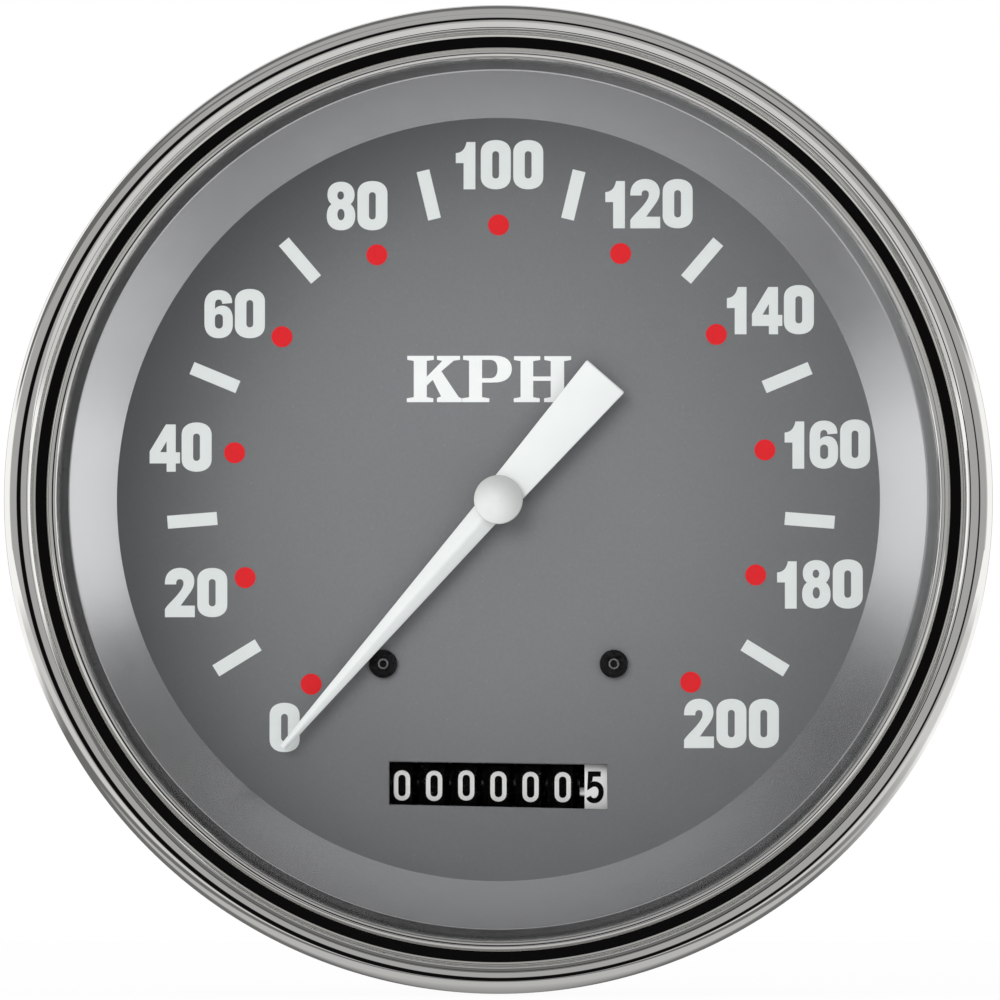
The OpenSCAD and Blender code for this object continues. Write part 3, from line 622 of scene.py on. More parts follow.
CAP_SILVER = Finish(
    "cap_silver", (0.90, 0.92, 0.905), 0.36, metallic=0.15, grain=2, tone=0.03, gloss=0.05, bump=0.16,
    # Painted shading on the cap: lightest at its lower left and darker away from it, standing in for how the
    # light falls on the cone.
    relief=Effect.TURNED, relief_size=0.15, painted_shades=(PaintedShade((-1.3, -1.5), 0.6, 5, 0.42),),
)
BLACK_SCREW = Finish(
    "black_oxide", (0.004, 0.004, 0.0045), 0.26, grain=0.8, tone=0.3, gloss=0.08, bump=0.10,
    marks=Effect.SCUFFS, mark_size=0.5, mark_share=0.25, mark_colour=(0.04, 0.04, 0.04), specular=0.28,
)
WORN_STEEL = Metal("worn_steel", (0.52, 0.52, 0.53), 0.22, grain=0.3, tone=0.35, gloss=0.10, bump=0.10)
BLACK_RESIN = Finish(
    "black_resin", (0.002, 0.002, 0.0022), 0.5, grain=1.2, tone=0.2, bump=0.05,
    marks=Effect.SCUFFS, mark_size=1.1, mark_share=0.16, mark_colour=(0.12, 0.12, 0.12), specular=0.04,
)
WHITE_RESIN = Finish("white_resin", (0.78, 0.79, 0.77), 0.45, grain=1.2, tone=0.04, bump=0.04)
BLACK_RUBBER = Finish("black_rubber", (0.02, 0.02, 0.02), 0.7, grain=0.8, tone=0.2, gloss=0.08, bump=0.15)
ZINC_CASE = Metal(
    "zinc_case", (0.54, 0.56, 0.58), 0.34, grain=9, tone=0.10, gloss=0.07, bump=0.06,
    relief=Effect.TURNED, relief_size=0.5,
    marks=Effect.SCUFFS, mark_size=7, mark_share=0.12, mark_colour=(0.42, 0.42, 0.41),
)
ZINC_STEEL = Metal("zinc_steel", (0.63, 0.58, 0.47), 0.34, grain=3, tone=0.10, gloss=0.07, bump=0.03)
MAGNET_ALLOY = Metal("magnet_alloy", (0.16, 0.16, 0.17), 0.5, grain=1, tone=0.15, gloss=0.08, bump=0.10)
FRAME_CASTING = Metal(
    "frame_casting", (0.50, 0.50, 0.49), 0.48, grain=1.2, tone=0.12, gloss=0.08, bump=0.20, relief_size=0.5
)
SLOT_FINISHES = {
    "chrome": CHROME,
    "lens_glass": LENS_GLASS,
    "bulb_glass": BULB_GLASS,
    "satin_aluminium": SATIN,
    "dial_paint": DIAL_PAINT,
    "black_screw": BLACK_SCREW,
    "pointer_white": NEEDLE_PAINT,
    "cap_silver": CAP_SILVER,
    "black_resin": BLACK_RESIN,
    "white_resin": WHITE_RESIN,
    "black_rubber": BLACK_RUBBER,
    "zinc_plated_case": ZINC_CASE,
    "frame_casting": FRAME_CASTING,
    "zinc_plated_steel": ZINC_STEEL,
    "magnet_alloy": MAGNET_ALLOY,
    "steel": Metal("ground_steel", (0.56, 0.55, 0.54), 0.28, tone=0.06, bump=0.04),
    "brass": Metal("brass", (0.78, 0.57, 0.24), 0.30, grain=2, gloss=0.07, bump=0.03),
    "aluminium": Metal("aluminium", (0.80, 0.80, 0.80), 0.34, grain=2, tone=0.05, bump=0.03),
    "brown_resin": Finish("brown_resin", (0.16, 0.07, 0.03), 0.5, grain=0.6, tone=0.25, bump=0.06),
    "lamp_resin": Finish("lamp_resin", (0.03, 0.03, 0.032), 0.48, grain=1, tone=0.2, bump=0.06),
}


def add_piece(
    name: str,
    bm: BMesh,
    finish: Finish,
    body: str = "instrument",
    node: str = "",
    sharp: float = 35,
) -> None:
    """Make a built mesh a piece of the instrument.

    Args:
        name: Name of the piece.
        bm: The built mesh, which is freed.
        finish: Its finish.
        body: CAD body that it rides on.
        node: CAD node that it stands for, if any.
        sharp: Angle above which an edge stays sharp, in degrees.
    """
    fit(make_object(name, bm, finish.material(), sharp), body, node)


def dress_node(node: str, finish: Finish, sharp: float = 32) -> None:
    """Give a CAD node its finish, smooth where its faces run on.

    Args:
        node: Name of the CAD node.
        finish: Its finish.
        sharp: Angle above which an edge stays sharp, in degrees.
    """
    obj = frame["nodes"][node]
    mesh = obj.data
    for stored in ("custom_normal", "sharp_edge"):
        if stored in mesh.attributes:
            mesh.attributes.remove(mesh.attributes[stored])
    mesh.materials.clear()
    mesh.materials.append(finish.material())
    mesh.shade_smooth()
    obj.modifiers.new("weld", "WELD").merge_threshold = SAME_SPOT
    obj.modifiers.new("crease", "EDGE_SPLIT").split_angle = math.radians(sharp)


@dataclass
class Pattern:
    """Copies of one shape, set in their places by a tree of geometry nodes."""

    name: str
    count: int

    def sizes(self) -> dict[str, float]:
        """Name the sizes that the tree takes, in metres and radians."""
        raise NotImplementedError

    def lay(self, bench: NodeBench, given: NodeOutputs, index: NodeSocket) -> Layout:
        """Make the shape, and work out where each copy stands and how it is turned.

        Args:
            bench: Bench of the tree.
            given: The tree's inputs.
            index: Number of the copy.

        Returns:
            The sockets of the shape's mesh, of the place and of the turn.
        """
        raise NotImplementedError

    def tree(self) -> NodeTree:
        """Build the node tree, with its sizes as named inputs.

        Returns:
            The new tree.
        """
        tree = bpy.data.node_groups.new(self.name, "GeometryNodeTree")
        kinds = dict.fromkeys(self.sizes(), "NodeSocketFloat")
        kinds |= {"Count": "NodeSocketInt", "Material": "NodeSocketMaterial"}
        for name, kind in kinds.items():
            tree.interface.new_socket(name, in_out="INPUT", socket_type=kind)
        tree.interface.new_socket("Geometry", in_out="OUTPUT", socket_type="NodeSocketGeometry")
        bench = NodeBench(tree)
        given = bench.add("NodeGroupInput").outputs
        index = bench.add("GeometryNodeInputIndex").outputs[0]
        shape, spot, turn = self.lay(bench, given, index)
        points = bench.add("GeometryNodePoints", {"Count": given["Count"], "Position": spot})
        placed = bench.add(
            "GeometryNodeInstanceOnPoints",
            {"Points": points.outputs[0], "Instance": shape, "Rotation": turn},
        )
        solid = bench.add("GeometryNodeRealizeInstances", {"Geometry": placed.outputs[0]})
        painted = bench.add(
            "GeometryNodeSetMaterial", {"Geometry": solid.outputs[0], "Material": given["Material"]}
        )
        bench.add("NodeGroupOutput", {"Geometry": painted.outputs[0]})
        return tree

    def build(self, material: Material) -> Object:
        """Run the tree and keep its result as one plain mesh.

        Args:
            material: Material of the copies.

        Returns:
            The object, with no modifier left on it.
        """
        values = self.sizes() | {"Count": self.count, "Material": material}
        obj = bpy.data.objects.new(self.name, bpy.data.meshes.new(self.name))
        bpy.context.scene.collection.objects.link(obj)
        modifier = obj.modifiers.new(self.name, "NODES")
        modifier.node_group = self.tree()
        for item in modifier.node_group.interface.items_tree:
            if item.in_out == "INPUT":
                modifier[item.identifier] = values[item.name]
        shown = obj.evaluated_get(bpy.context.evaluated_depsgraph_get())
        mesh = bpy.data.meshes.new_from_object(shown)
        obj.modifiers.remove(modifier)
        obj.data = mesh
        return obj


class MarkShape(Enum):
    """Shapes that a ring of marks repeats."""

    BAR = "GeometryNodeMeshCube"
    DISC = "GeometryNodeMeshCylinder"


@dataclass
class RingPattern(Pattern):
    """Marks repeated round a circle."""

    mark: MarkShape
    centre: Point
    radius: float
    start: float
    step: float
    size: tuple[float, float, float]
    lift: float
    disc_sides: int = 48

    def sizes(self) -> dict[str, float]:
        """Name the sizes that the tree takes, in metres and radians.

        Returns:
            The value of each input.
        """
        length, thickness, width = self.size
        lengths = {
            "Radius": self.radius,
            "Length": length,
            "Thickness": thickness,
            "Width": width,
            "Lift": self.lift,
            "Centre X": self.centre[0],
            "Centre Z": self.centre[1],
        }
        turns = {"Start": self.start, "Step": self.step}
        return {name: value * MM for name, value in lengths.items()} | {
            name: math.radians(value) for name, value in turns.items()
        }

    def lay(self, bench: NodeBench, given: NodeOutputs, index: NodeSocket) -> Layout:
        """Set each mark on the circle, along its radius.

        Args:
            bench: Bench of the tree.
            given: The tree's inputs.
            index: Number of the mark.

        Returns:
            The sockets of the mark's mesh, of its place and of its turn.
        """
        if self.mark is MarkShape.BAR:
            size = bench.add(
                "ShaderNodeCombineXYZ", {"X": given["Length"], "Y": given["Thickness"], "Z": given["Width"]}
            )
            shape = bench.add(self.mark.value, {"Size": size.outputs[0]}).outputs["Mesh"]
        else:
            radius = bench.math("DIVIDE", given["Width"], 2.0)
            sizes = {"Vertices": self.disc_sides, "Radius": radius, "Depth": given["Thickness"]}
            disc = bench.add(self.mark.value, sizes)
            upright = {"Geometry": disc.outputs["Mesh"], "Rotation": (math.pi / 2, 0, 0)}
            shape = bench.add("GeometryNodeTransform", upright).outputs[0]
        turn = bench.math("MULTIPLY_ADD", index, given["Step"], given["Start"])
        x = bench.math("MULTIPLY_ADD", bench.math("COSINE", turn), given["Radius"], given["Centre X"])
        z = bench.math("MULTIPLY_ADD", bench.math("SINE", turn), given["Radius"], given["Centre Z"])
        y = bench.math("MULTIPLY", given["Lift"], -1.0)
        spot = bench.add("ShaderNodeCombineXYZ", {"X": x, "Y": y, "Z": z})
        facing = bench.add("ShaderNodeCombineXYZ", {"Y": bench.math("MULTIPLY", turn, -1.0)})
        return shape, spot.outputs[0], facing.outputs[0]


@dataclass
class Thread(Pattern):
    """Screw threads that stand side by side in a row."""

    span: float
    radius: float
    pitch: float
    start_f: float
    length: float
    steps: int = 40

    def sizes(self) -> dict[str, float]:
        """Name the sizes that the tree takes, in metres.

        Returns:
            The value of each input.
        """
        return {
            "Span": self.span * MM,
            "Radius": self.radius * MM,
            "Pitch": self.pitch * MM,
            "Start": -self.start_f * MM,
            "Length": self.length * MM,
        }

    def lay(self, bench: NodeBench, given: NodeOutputs, index: NodeSocket) -> Layout:
        """Wind the threads backwards from their start, in a row about the middle.

        Args:
            bench: Bench of the tree.
            given: The tree's inputs.
            index: Number of the thread.

        Returns:
            The sockets of the thread's mesh, of its place and of its turn.
        """
        ridge = bench.math("DIVIDE", given["Pitch"], 2.0)
        middle_r = bench.math("SUBTRACT", given["Radius"], ridge)
        spiral = bench.add(
            "GeometryNodeCurveSpiral",
            {
                "Resolution": self.steps,
                "Rotations": bench.math("DIVIDE", given["Length"], given["Pitch"]),
                "Start Radius": middle_r,
                "End Radius": middle_r,
                "Height": given["Length"],
            },
        )
        upright = bench.add("GeometryNodeSetCurveNormal", {"Curve": spiral.outputs[0]}, mode="Z_UP")
        section = bench.add("GeometryNodeCurvePrimitiveCircle", {"Resolution": 4, "Radius": ridge})
        wound = bench.add(
            "GeometryNodeCurveToMesh",
            {"Curve": upright.outputs[0], "Profile Curve": section.outputs[0], "Fill Caps": True},
        )
        backwards = {"Geometry": wound.outputs[0], "Rotation": (-math.pi / 2, 0, 0)}
        shape = bench.add("GeometryNodeTransform", backwards).outputs[0]
        last = bench.math("SUBTRACT", given["Count"], 1.0)
        from_middle = bench.math("SUBTRACT", index, bench.math("DIVIDE", last, 2.0))
        x = bench.math("MULTIPLY", from_middle, given["Span"])
        spot = bench.add("ShaderNodeCombineXYZ", {"X": x, "Y": given["Start"]})
        unturned = bench.add("ShaderNodeCombineXYZ")
        return shape, spot.outputs[0], unturned.outputs[0]


@dataclass
class Bezel:
    """The chromed bezel: an outer bead, a flat step and a small lip bead."""

    outer_r: float
    crest_f: float
    rim_r: float = 1.6
    roll_r: float = 2.4
    step_f: float = 9.3
    bead_mid: Point = (56.45, 9.0)
    bead_r: float = 0.75
    back_f: float = 8.4
    wall: float = 0.9
    crimp_r: float = 59.1
    foot_r: float = 0.35

    def profile(self) -> list[Point]:
        """Lay out the bezel's section, round from its turned-in edge.

        Returns:
            Points as (radius, f).
        """
        crest_r = self.outer_r - self.rim_r
        rim_f = self.crest_f - self.rim_r
        roll_f = self.crest_f - self.roll_r
        step_turn = 180 - math.degrees(math.asin((self.step_f - roll_f) / self.roll_r))
        bead_turn = math.degrees(math.asin((self.step_f - self.bead_mid[1]) / self.bead_r))
        lip_turn = 180 + math.degrees(math.asin((self.bead_mid[1] - self.back_f) / self.bead_r))
        inner_r = self.outer_r - self.wall
        foot = (self.outer_r - self.foot_r, self.foot_r)
        return [
            (self.crimp_r, 0),
            *arc(foot, self.foot_r, -90, 0, 4),
            *arc((crest_r, rim_f), self.rim_r, 0, 90, 24),
            *arc((crest_r, roll_f), self.roll_r, 90, step_turn, 28)[1:],
            *arc(self.bead_mid, self.bead_r, bead_turn, lip_turn, 28),
            (inner_r, self.back_f),
            (inner_r, self.wall),
            (self.crimp_r, self.wall),
        ]

    def build(self) -> None:
        """Turn the bezel."""
        bm = bmesh.new()
        lathe(bm, self.profile(), segments=360)
        add_piece("chrome_bezel", bm, CHROME, node="bezel")


@dataclass
class TrimRing:
    """The spun ring that leads from the glass down to the dial."""

    outer_r: float
    front_f: float
    foot_f: float
    window_r: float = 48.3
    mouth_r: float = 54.3
    mouth_round: float = 0.45
    sheet: float = 0.8
    foot_w: float = 1.1
    skirt_f: float = 1.7
    rim_fall: float = 0.18

    def profile(self) -> list[Point]:
        """Lay out the ring's section, from the dial outwards.

        Returns:
            Points as (radius, f).
        """
        slope = math.degrees(math.atan2(self.front_f - self.foot_f, self.mouth_r - self.window_r))
        setback = self.mouth_round * math.tan(math.radians(slope / 2))
        mouth = arc(
            (self.mouth_r + setback, self.front_f - self.mouth_round), self.mouth_round, 90 + slope, 90, 8
        )
        back_f = self.front_f - self.sheet
        return [
            (self.window_r, self.foot_f),
            *mouth,
            (self.outer_r, self.front_f - self.rim_fall),
            (self.outer_r, self.skirt_f),
            (self.outer_r - self.sheet, self.skirt_f),
            (self.outer_r - self.sheet, back_f),
            (self.mouth_r + self.sheet / 2, back_f),
            (self.window_r + self.foot_w, self.foot_f),
        ]

    def build(self) -> None:
        """Turn the ring."""
        bm = bmesh.new()
        lathe(bm, self.profile(), segments=360)
        add_piece("spun_trim_ring", bm, SATIN, node="trim_ring", sharp=50)


@dataclass(frozen=True)
class Glyph:
    """A printed character: its outline and how far the next one stands."""

    advance: float
    path: str


NUMERALS = {
    "0": Glyph(
        32.5,
        "M0,12.3 L0,37 C0,44.4 5.7,49.3 15,49.3 24.3,49.3 30,44.4 30,37 L30,12.3 C30,4.9 24.3,0 15,0"
        " 5.7,0 0,4.9 0,12.3"
        " M11.5,14.2 C11.5,9.7 18.3,9.7 18.3,14.2 L18.3,34.8 C18.3,39.3 11.5,39.3 11.5,34.8",
    ),
    "1": Glyph(25, "M7.8,0 L19.6,0 19.6,47.3 10.8,47.3 C9.4,40.5 6.5,36.6 0,36.2 L0,26.2 7.8,26.2"),
    "2": Glyph(
        32.4,
        "M0,32.8 L0,34.5 C0,43.5 6,49.4 15,49.4 24,49.4 29.4,44 29.4,36 29.4,29.5 26,25.5 21.5,19.5"
        " L15.8,11.6 29.9,11.6 29.9,0 0,0 0,8 C2.5,12.5 8,17 13,23 16.5,27.5 18.6,30.5 18.6,34"
        " 18.6,36.6 17,38 14.9,38 12.6,38 11.3,36.4 11.3,34 L11.3,32.8",
    ),
    "4": Glyph(
        32,
        "M17,0 L26.1,0 26.1,8.3 30.4,8.3 30.4,19.4 26.1,19.4 26.1,47.3 16.3,47.3 0,20.3 0,8.3 17,8.3"
        " M10.6,19.6 L17,19.6 17,30.4",
    ),
    "6": Glyph(
        30.5,
        "M0,15 L0,33 C0,42.5 5.5,48.2 14.4,48.2 22.5,48.2 27.7,43.5 27.7,36.2 L27.7,35.2 17.8,34.4"
        " C17.8,37.2 16.6,38.7 14.3,38.7 11.9,38.7 10.6,37 10.6,33.5 L10.6,29.2 C12.2,31.4 14.8,32.6 18,32.6"
        " 24.4,32.6 28.4,27.4 28.4,19.5 L28.4,13.5 C28.4,4.8 22.8,0 14.2,0 5.6,0 0,5.2 0,15"
        " M10.5,13.6 C10.5,8.3 18.5,8.3 18.5,13.6 L18.5,20.2 C18.5,25.5 10.5,25.5 10.5,20.2",
    ),
    "8": Glyph(
        30.7,
        "M14.25,0 C22.8,0 28.5,5 28.5,14 28.5,20 27,23.5 23.8,26.2 26.6,28.6 27.8,31.5 27.8,35.8"
        " 27.8,43.6 22.3,48.6 14.25,48.6 6.2,48.6 0.7,43.6 0.7,35.8 0.7,31.5 1.9,28.6 4.7,26.2"
        " 1.5,23.5 0,20 0,14 0,5 5.7,0 14.25,0 M10.6,34.85 C10.6,40.4 17.2,40.4 17.2,34.85"
        " 17.2,29.3 10.6,29.3 10.6,34.85 M10.6,15.75 C10.6,23.4 17.8,23.4 17.8,15.75"
        " 17.8,8.1 10.6,8.1 10.6,15.75",
    ),
}
UNIT_LETTERS = {
    "K": Glyph(
        55.3,
        "M0,0 L26.5,0 26.5,3.8 20,5 20,16.6 26,22.3 34.3,5.7 30.2,4.2 30.2,0 55,0 55,3.8 52,5 34.6,30.9"
        " 47,41.5 53.3,42.3 53.3,46.3 30.2,46.3 30.2,42.3 35.5,41.3 20,25.4 20,41.3 27,42.3 27,46.3"
        " 0.5,46.3 0.5,42.3 7,41.3 7,5 0,3.8",
    ),
    "P": Glyph(
        51.7,
        "M0,0 L27.3,0 27.3,3.8 20,5 20,19.5 33,19.7 C43.5,19.7 49.8,25 49.8,33.3 49.8,41.6 43.5,46.5 33,46.5"
        " L1,46.5 1,42.5 7,41.5 7,5 0,3.8 M20,42.3 L28,42.3 C33.5,42.3 35.4,38.5 35.4,33.2"
        " 35.4,27.8 33.5,24 28,24 L20,24",
    ),
    "H": Glyph(
        57.4,
        "M0,0 L26,0 26,3.8 19.5,5 19.5,21.3 37,21.3 37,5 30.4,3.8 30.4,0 57,0 57,3.8 50.4,5 50.4,41"
        " 57.4,42.2 57.4,46 30.6,46 30.6,42.2 37,41 37,25.7 19.5,25.7 19.5,41 26.5,42.2 26.5,46 0.3,46"
        " 0.3,42.2 6.8,41 6.8,5 0,3.8",
    ),
}
DIAL_SCREWS_AT = ((-14.6, -20.8), (14.6, -20.8))


@dataclass
class Dial:
    """The painted dial: its plate with the counter's window, and its printed scale."""

    plate_r: float
    back_f: float
    face_f: float
    bore_r: float = 2.6
    screws_at: tuple[Point, ...] = DIAL_SCREWS_AT
    screw_hole_r: float = 1
    window: tuple[Point, ...] = ((-13.8, -33.2), (13.75, -33.6), (13.8, -39.2), (-13.8, -38.6))
    window_edge: float = 0.22
    drawing_unit: float = 0.12654
    ink: float = 0.025
    ticks_middle: Point = (0.33, 0.44)
    ticks_zero_at: float = 225
    step: float = 27
    dots_middle: Point = (0.2, 0.78)
    dots_zero_at: float = 225.3
    dots_r: float = 33.98
    dot_d: float = 2.66
    ticks_r: float = 39.2
    tick_size: Point = (6.3, 1.65)
    unit_mark_at: Point = (-1.2, 15.27)
    numerals_at: dict[str, Point] = field(
        default_factory=lambda: {
            "0": (-27.07, -28.85),
            "20": (-38.27, -11.77),
            "40": (-40.23, 6.64),
            "60": (-33.39, 23.54),
            "80": (-17.89, 37.20),
            "100": (0.14, 42.39),
            "120": (19.06, 37.46),
            "140": (34.43, 24.04),
            "160": (41.64, 7.02),
            "180": (40.70, -10.69),
            "200": (29.50, -28.34),
        }
    )

    def write(self, bm: BMesh, word: str, letters: dict[str, Glyph], middle: Point) -> None:
        """Print a word with its outline centred on a point.

        Args:
            bm: Mesh that takes the letters.
            word: The characters.
            letters: The alphabet.
            middle: Centre of the word on the dial.
        """
        pen, loops = 0.0, []
        for letter in word:
            glyph = letters[letter]
            loops.append([[(x + pen, y) for x, y in loop] for loop in trace(glyph.path)])
            pen += glyph.advance
        xs, ys = zip(*(spot for letter in loops for loop in letter for spot in loop))
        unit = self.drawing_unit
        origin_x = middle[0] - unit * (min(xs) + max(xs)) / 2
        origin_z = middle[1] - unit * (min(ys) + max(ys)) / 2
        for letter in loops:
            sized = [[(origin_x + x * unit, origin_z + y * unit) for x, y in loop] for loop in letter]
            prism(bm, sized, self.face_f - self.ink, self.face_f + self.ink)

    def build_plate(self) -> None:
        """Cut the plate, with a soft edge round the window."""
        outline = arc((0, 0), self.plate_r, 0, 360, 192)
        bore = arc((0, 0), self.bore_r, 0, 360, 48)
        holes = [arc(spot, self.screw_hole_r, 0, 360, 32) for spot in self.screws_at]
        bm = bmesh.new()
        prism(bm, [outline, self.window, bore, *holes], self.back_f, self.face_f)
        corners = [place(*corner, self.face_f) for corner in self.window]
        at_window = {v for v in bm.verts if any((v.co - corner).length < SAME_SPOT for corner in corners)}
        rim = [edge for edge in bm.edges if at_window.issuperset(edge.verts)]
        bmesh.ops.bevel(bm, geom=rim, offset=self.window_edge * MM, segments=4, affect="EDGES", profile=0.5)
        add_piece("painted_dial", bm, DIAL_PAINT, node="dial_plate", sharp=40)

    def build(self) -> None:
        """Cut the plate and print the numerals, the unit mark, the dots and the ticks."""
        self.build_plate()
        bm = bmesh.new()
        for word, middle in self.numerals_at.items():
            self.write(bm, word, NUMERALS, middle)
        add_piece("dial_numerals", bm, PRINT_WHITE)
        bm = bmesh.new()
        self.write(bm, "KPH", UNIT_LETTERS, self.unit_mark_at)
        add_piece("dial_unit_mark", bm, PRINT_BRIGHT)
        intervals = len(self.numerals_at) - 1
        dots = RingPattern(
            "dial_dots",
            intervals + 1,
            MarkShape.DISC,
            centre=self.dots_middle,
            radius=self.dots_r,
            start=self.dots_zero_at,
            step=-self.step,
            size=(self.dot_d, 2 * self.ink, self.dot_d),
            lift=self.face_f,
        )
        fit(dots.build(PRINT_RED.material()))
        ticks = RingPattern(
            "dial_ticks",
            intervals,
            MarkShape.BAR,
            centre=self.ticks_middle,
            radius=self.ticks_r,
            start=self.ticks_zero_at - self.step / 2,
            step=-self.step,
            size=(self.tick_size[0], 2 * self.ink, self.tick_size[1]),
            lift=self.face_f,
        )
        fit(ticks.build(PRINT_WHITE.material()))


@dataclass
class DialScrews:
    """Two black screws that hold the dial, with a worn eye in each dished head."""

    face_f: float
    at: tuple[Point, ...] = DIAL_SCREWS_AT
    head_r: float = 1.8
    head_h: float = 0.9
    shoulder_r: float = 0.35
    shoulder_drop: float = 0.45
    land: Point = (0.2, 0.16)
    rim_r: float = 0.95
    rim_round: float = 0.12
    dish: float = 0.4
    hole_r: float = 0.42
    hole_round: float = 0.08
    hole_floor: float = 0.105
    eye_w: float = 0.34
    eye_root: float = 0.2

    def head(self) -> list[Point]:
        """Lay out a head's section, dished round a dark hole.

        Returns:
            Points as (radius, f).
        """
        top = self.face_f + self.head_h
        dish_f = top - self.dish
        floor_f = self.face_f + self.hole_floor
        lip_r = self.hole_r + self.hole_round
        return [
            (0, self.face_f),
            (self.head_r, self.face_f),
            *arc((self.head_r - self.shoulder_r, top - self.shoulder_drop), self.shoulder_r, 0, 70, 6),
            (self.rim_r + self.land[0], top - self.land[1]),
            *arc((self.rim_r, top - self.rim_round), self.rim_round, 60, 150, 5),
            (lip_r, dish_f),
            *arc((lip_r, dish_f - self.hole_round), self.hole_round, 90, 180, 4),
            (self.hole_r, floor_f),
            (0, floor_f),
        ]

    def eye(self) -> list[Point]:
        """Lay out the section of the bright ring round the hole.

        Returns:
            Points as (radius, f).
        """
        half = self.eye_w / 2
        eye_f = self.face_f + self.head_h - self.dish
        return [
            (self.hole_r, eye_f - self.eye_root),
            *arc((self.hole_r + half, eye_f), half, 180, 0, 8),
            (self.hole_r + self.eye_w, eye_f - self.eye_root),
        ]

    def build(self) -> None:
        """Turn both heads and their eyes."""
        heads = bmesh.new()
        eyes = bmesh.new()
        for spot in self.at:
            lathe(heads, self.head(), spot, 48)
            lathe(eyes, self.eye(), spot, 48)
        add_piece("dial_screw_heads", heads, BLACK_SCREW, node="dial_screws")
        add_piece("dial_screw_eyes", eyes, WORN_STEEL)


@dataclass
class Pointer:
    """The white pointer: a ridged needle, a flat tail and a turned cap."""

    rest: float = 139
    under_f: float = 2.4
    needle_len: float = 41.6
    needle_w: Point = (3.7, 0.9)
    stations: int = 16
    edge_h: float = 0.55
    edge_most: float = 0.6
    edge_break: Point = (0.06, 0.8)
    ridge_h: float = 1.55
    tip_ridge: float = 0.75
    crown_w: float = 0.3
    crown_fall: float = 0.18
    crown_mid: Point = (0.45, 0.04)
    tail_len: float = 20.7
    tail_w: Point = (4.4, 6.3)
    tail_t: float = 0.9
    tail_bevel: float = 0.16
    bevel_mid: float = 0.3
    boss_r: float = 2.1
    boss_drop: float = 1
    cap_r: float = 3.1
    cap_f: float = 4.1
    cap_foot: float = 0.1
    cap_round: float = 0.18
    cap_turn: float = 77
    cap_tip: tuple[Point, Point] = ((0.25, 0.06), (0, 0.03))
    skirt: float = 0.5
    rise: float = 0.7

    def spot(self, along: float, aside: float, up: float) -> Vector:
        """Turn a place on the pointer, tip first, into world metres.

        Args:
            along: Distance from the hub towards the tip.
            aside: Distance to the side.
            up: Height over the pointer's underside.

        Returns:
            The place in the world.
        """
        turn = math.radians(90 + self.rest)
        x = along * math.cos(turn) - aside * math.sin(turn)
        z = along * math.sin(turn) + aside * math.cos(turn)
        return place(x, z, self.under_f + up)

    def loft(self, bm: BMesh, sections: Iterable[tuple[float, Sequence[Point]]]) -> None:
        """Skin a row of closed sections.

        Args:
            bm: Mesh that takes the skin.
            sections: A place along the pointer with its outline, as (aside, up).
        """
        rings = [[bm.verts.new(self.spot(along, *spot)) for spot in outline] for along, outline in sections]
        for ring, other in zip(rings, rings[1:]):
            for i in range(len(ring)):
                bm.faces.new((ring[i - 1], ring[i], other[i], other[i - 1]))
        for ring in (rings[0], rings[-1]):
            bm.faces.new(ring)

    def needle_section(self, width: float, ridge: float) -> list[Point]:
        """Draw the needle's section: low edges and a soft ridge.

        Args:
            width: Width of the needle here.
            ridge: Height of its ridge here.

        Returns:
            The outline, as (aside, up).
        """
        half, edge = width / 2, min(self.edge_h, ridge * self.edge_most)
        crown_r = half * self.crown_w
        break_w, break_h = self.edge_break
        mid_w, mid_fall = self.crown_mid
        side = [
            (half, 0.0),
            (half, edge * break_h),
            (half - break_w, edge),
            (crown_r, ridge - (ridge - edge) * self.crown_fall),
            (crown_r * mid_w, ridge - mid_fall),
        ]
        return side + [(0.0, ridge)] + [(-a, h) for a, h in reversed(side)]

    def tail_section(self, width: float, inset: float) -> list[Point]:
        """Draw the tail's section: a flat bar with broken edges.

        Args:
            width: Width of the tail here.
            inset: How far the outline draws in, for the rounded end.

        Returns:
            The outline, as (aside, up).
        """
        half, top = width / 2 - inset, self.tail_t - inset
        cut, mid = self.tail_bevel, self.tail_bevel * self.bevel_mid
        side = [(half, inset), (half, top - cut), (half - mid, top - mid), (half - cut, top)]
        return side + [(-a, h) for a, h in reversed(side)]

    def needle(self) -> list[tuple[float, list[Point]]]:
        """Lay out the needle's sections, from the hub to the tip.

        Returns:
            Each place along the pointer with its outline.
        """
        root_w, tip_w = self.needle_w
        sections = []
        for i in range(self.stations + 1):
            share = i / self.stations
            width = root_w + (tip_w - root_w) * share
            ridge = self.ridge_h + (self.tip_ridge - self.ridge_h) * share
            sections.append((self.needle_len * share, self.needle_section(width, ridge)))
        return sections

    def tail(self) -> list[tuple[float, list[Point]]]:
        """Lay out the tail's sections, from the hub to its end.

        Returns:
            Each place along the pointer with its outline.
        """
        root, end = self.tail_w
        near_end = end - (end - root) * self.tail_bevel / self.tail_len
        return [
            (0, self.tail_section(root, 0)),
            (self.tail_bevel - self.tail_len, self.tail_section(near_end, 0)),
            (-self.tail_len, self.tail_section(end, self.tail_bevel)),
        ]

    def cap(self) -> list[Point]:
        """Lay out the cap's section, a low cone with a soft shoulder.

        Returns:
            Points as (radius, f).
        """
        shoulder_f = self.cap_f + self.skirt
        tip_f = shoulder_f + self.rise
        middle = (self.cap_r - self.cap_round, shoulder_f - self.cap_round)
        return [
            (0, self.cap_f),
            (self.cap_r - self.cap_foot, self.cap_f),
            (self.cap_r, self.cap_f + self.cap_foot),
            *arc(middle, self.cap_round, 0, self.cap_turn, 6),
            *((radius, tip_f - fall) for radius, fall in self.cap_tip),
        ]

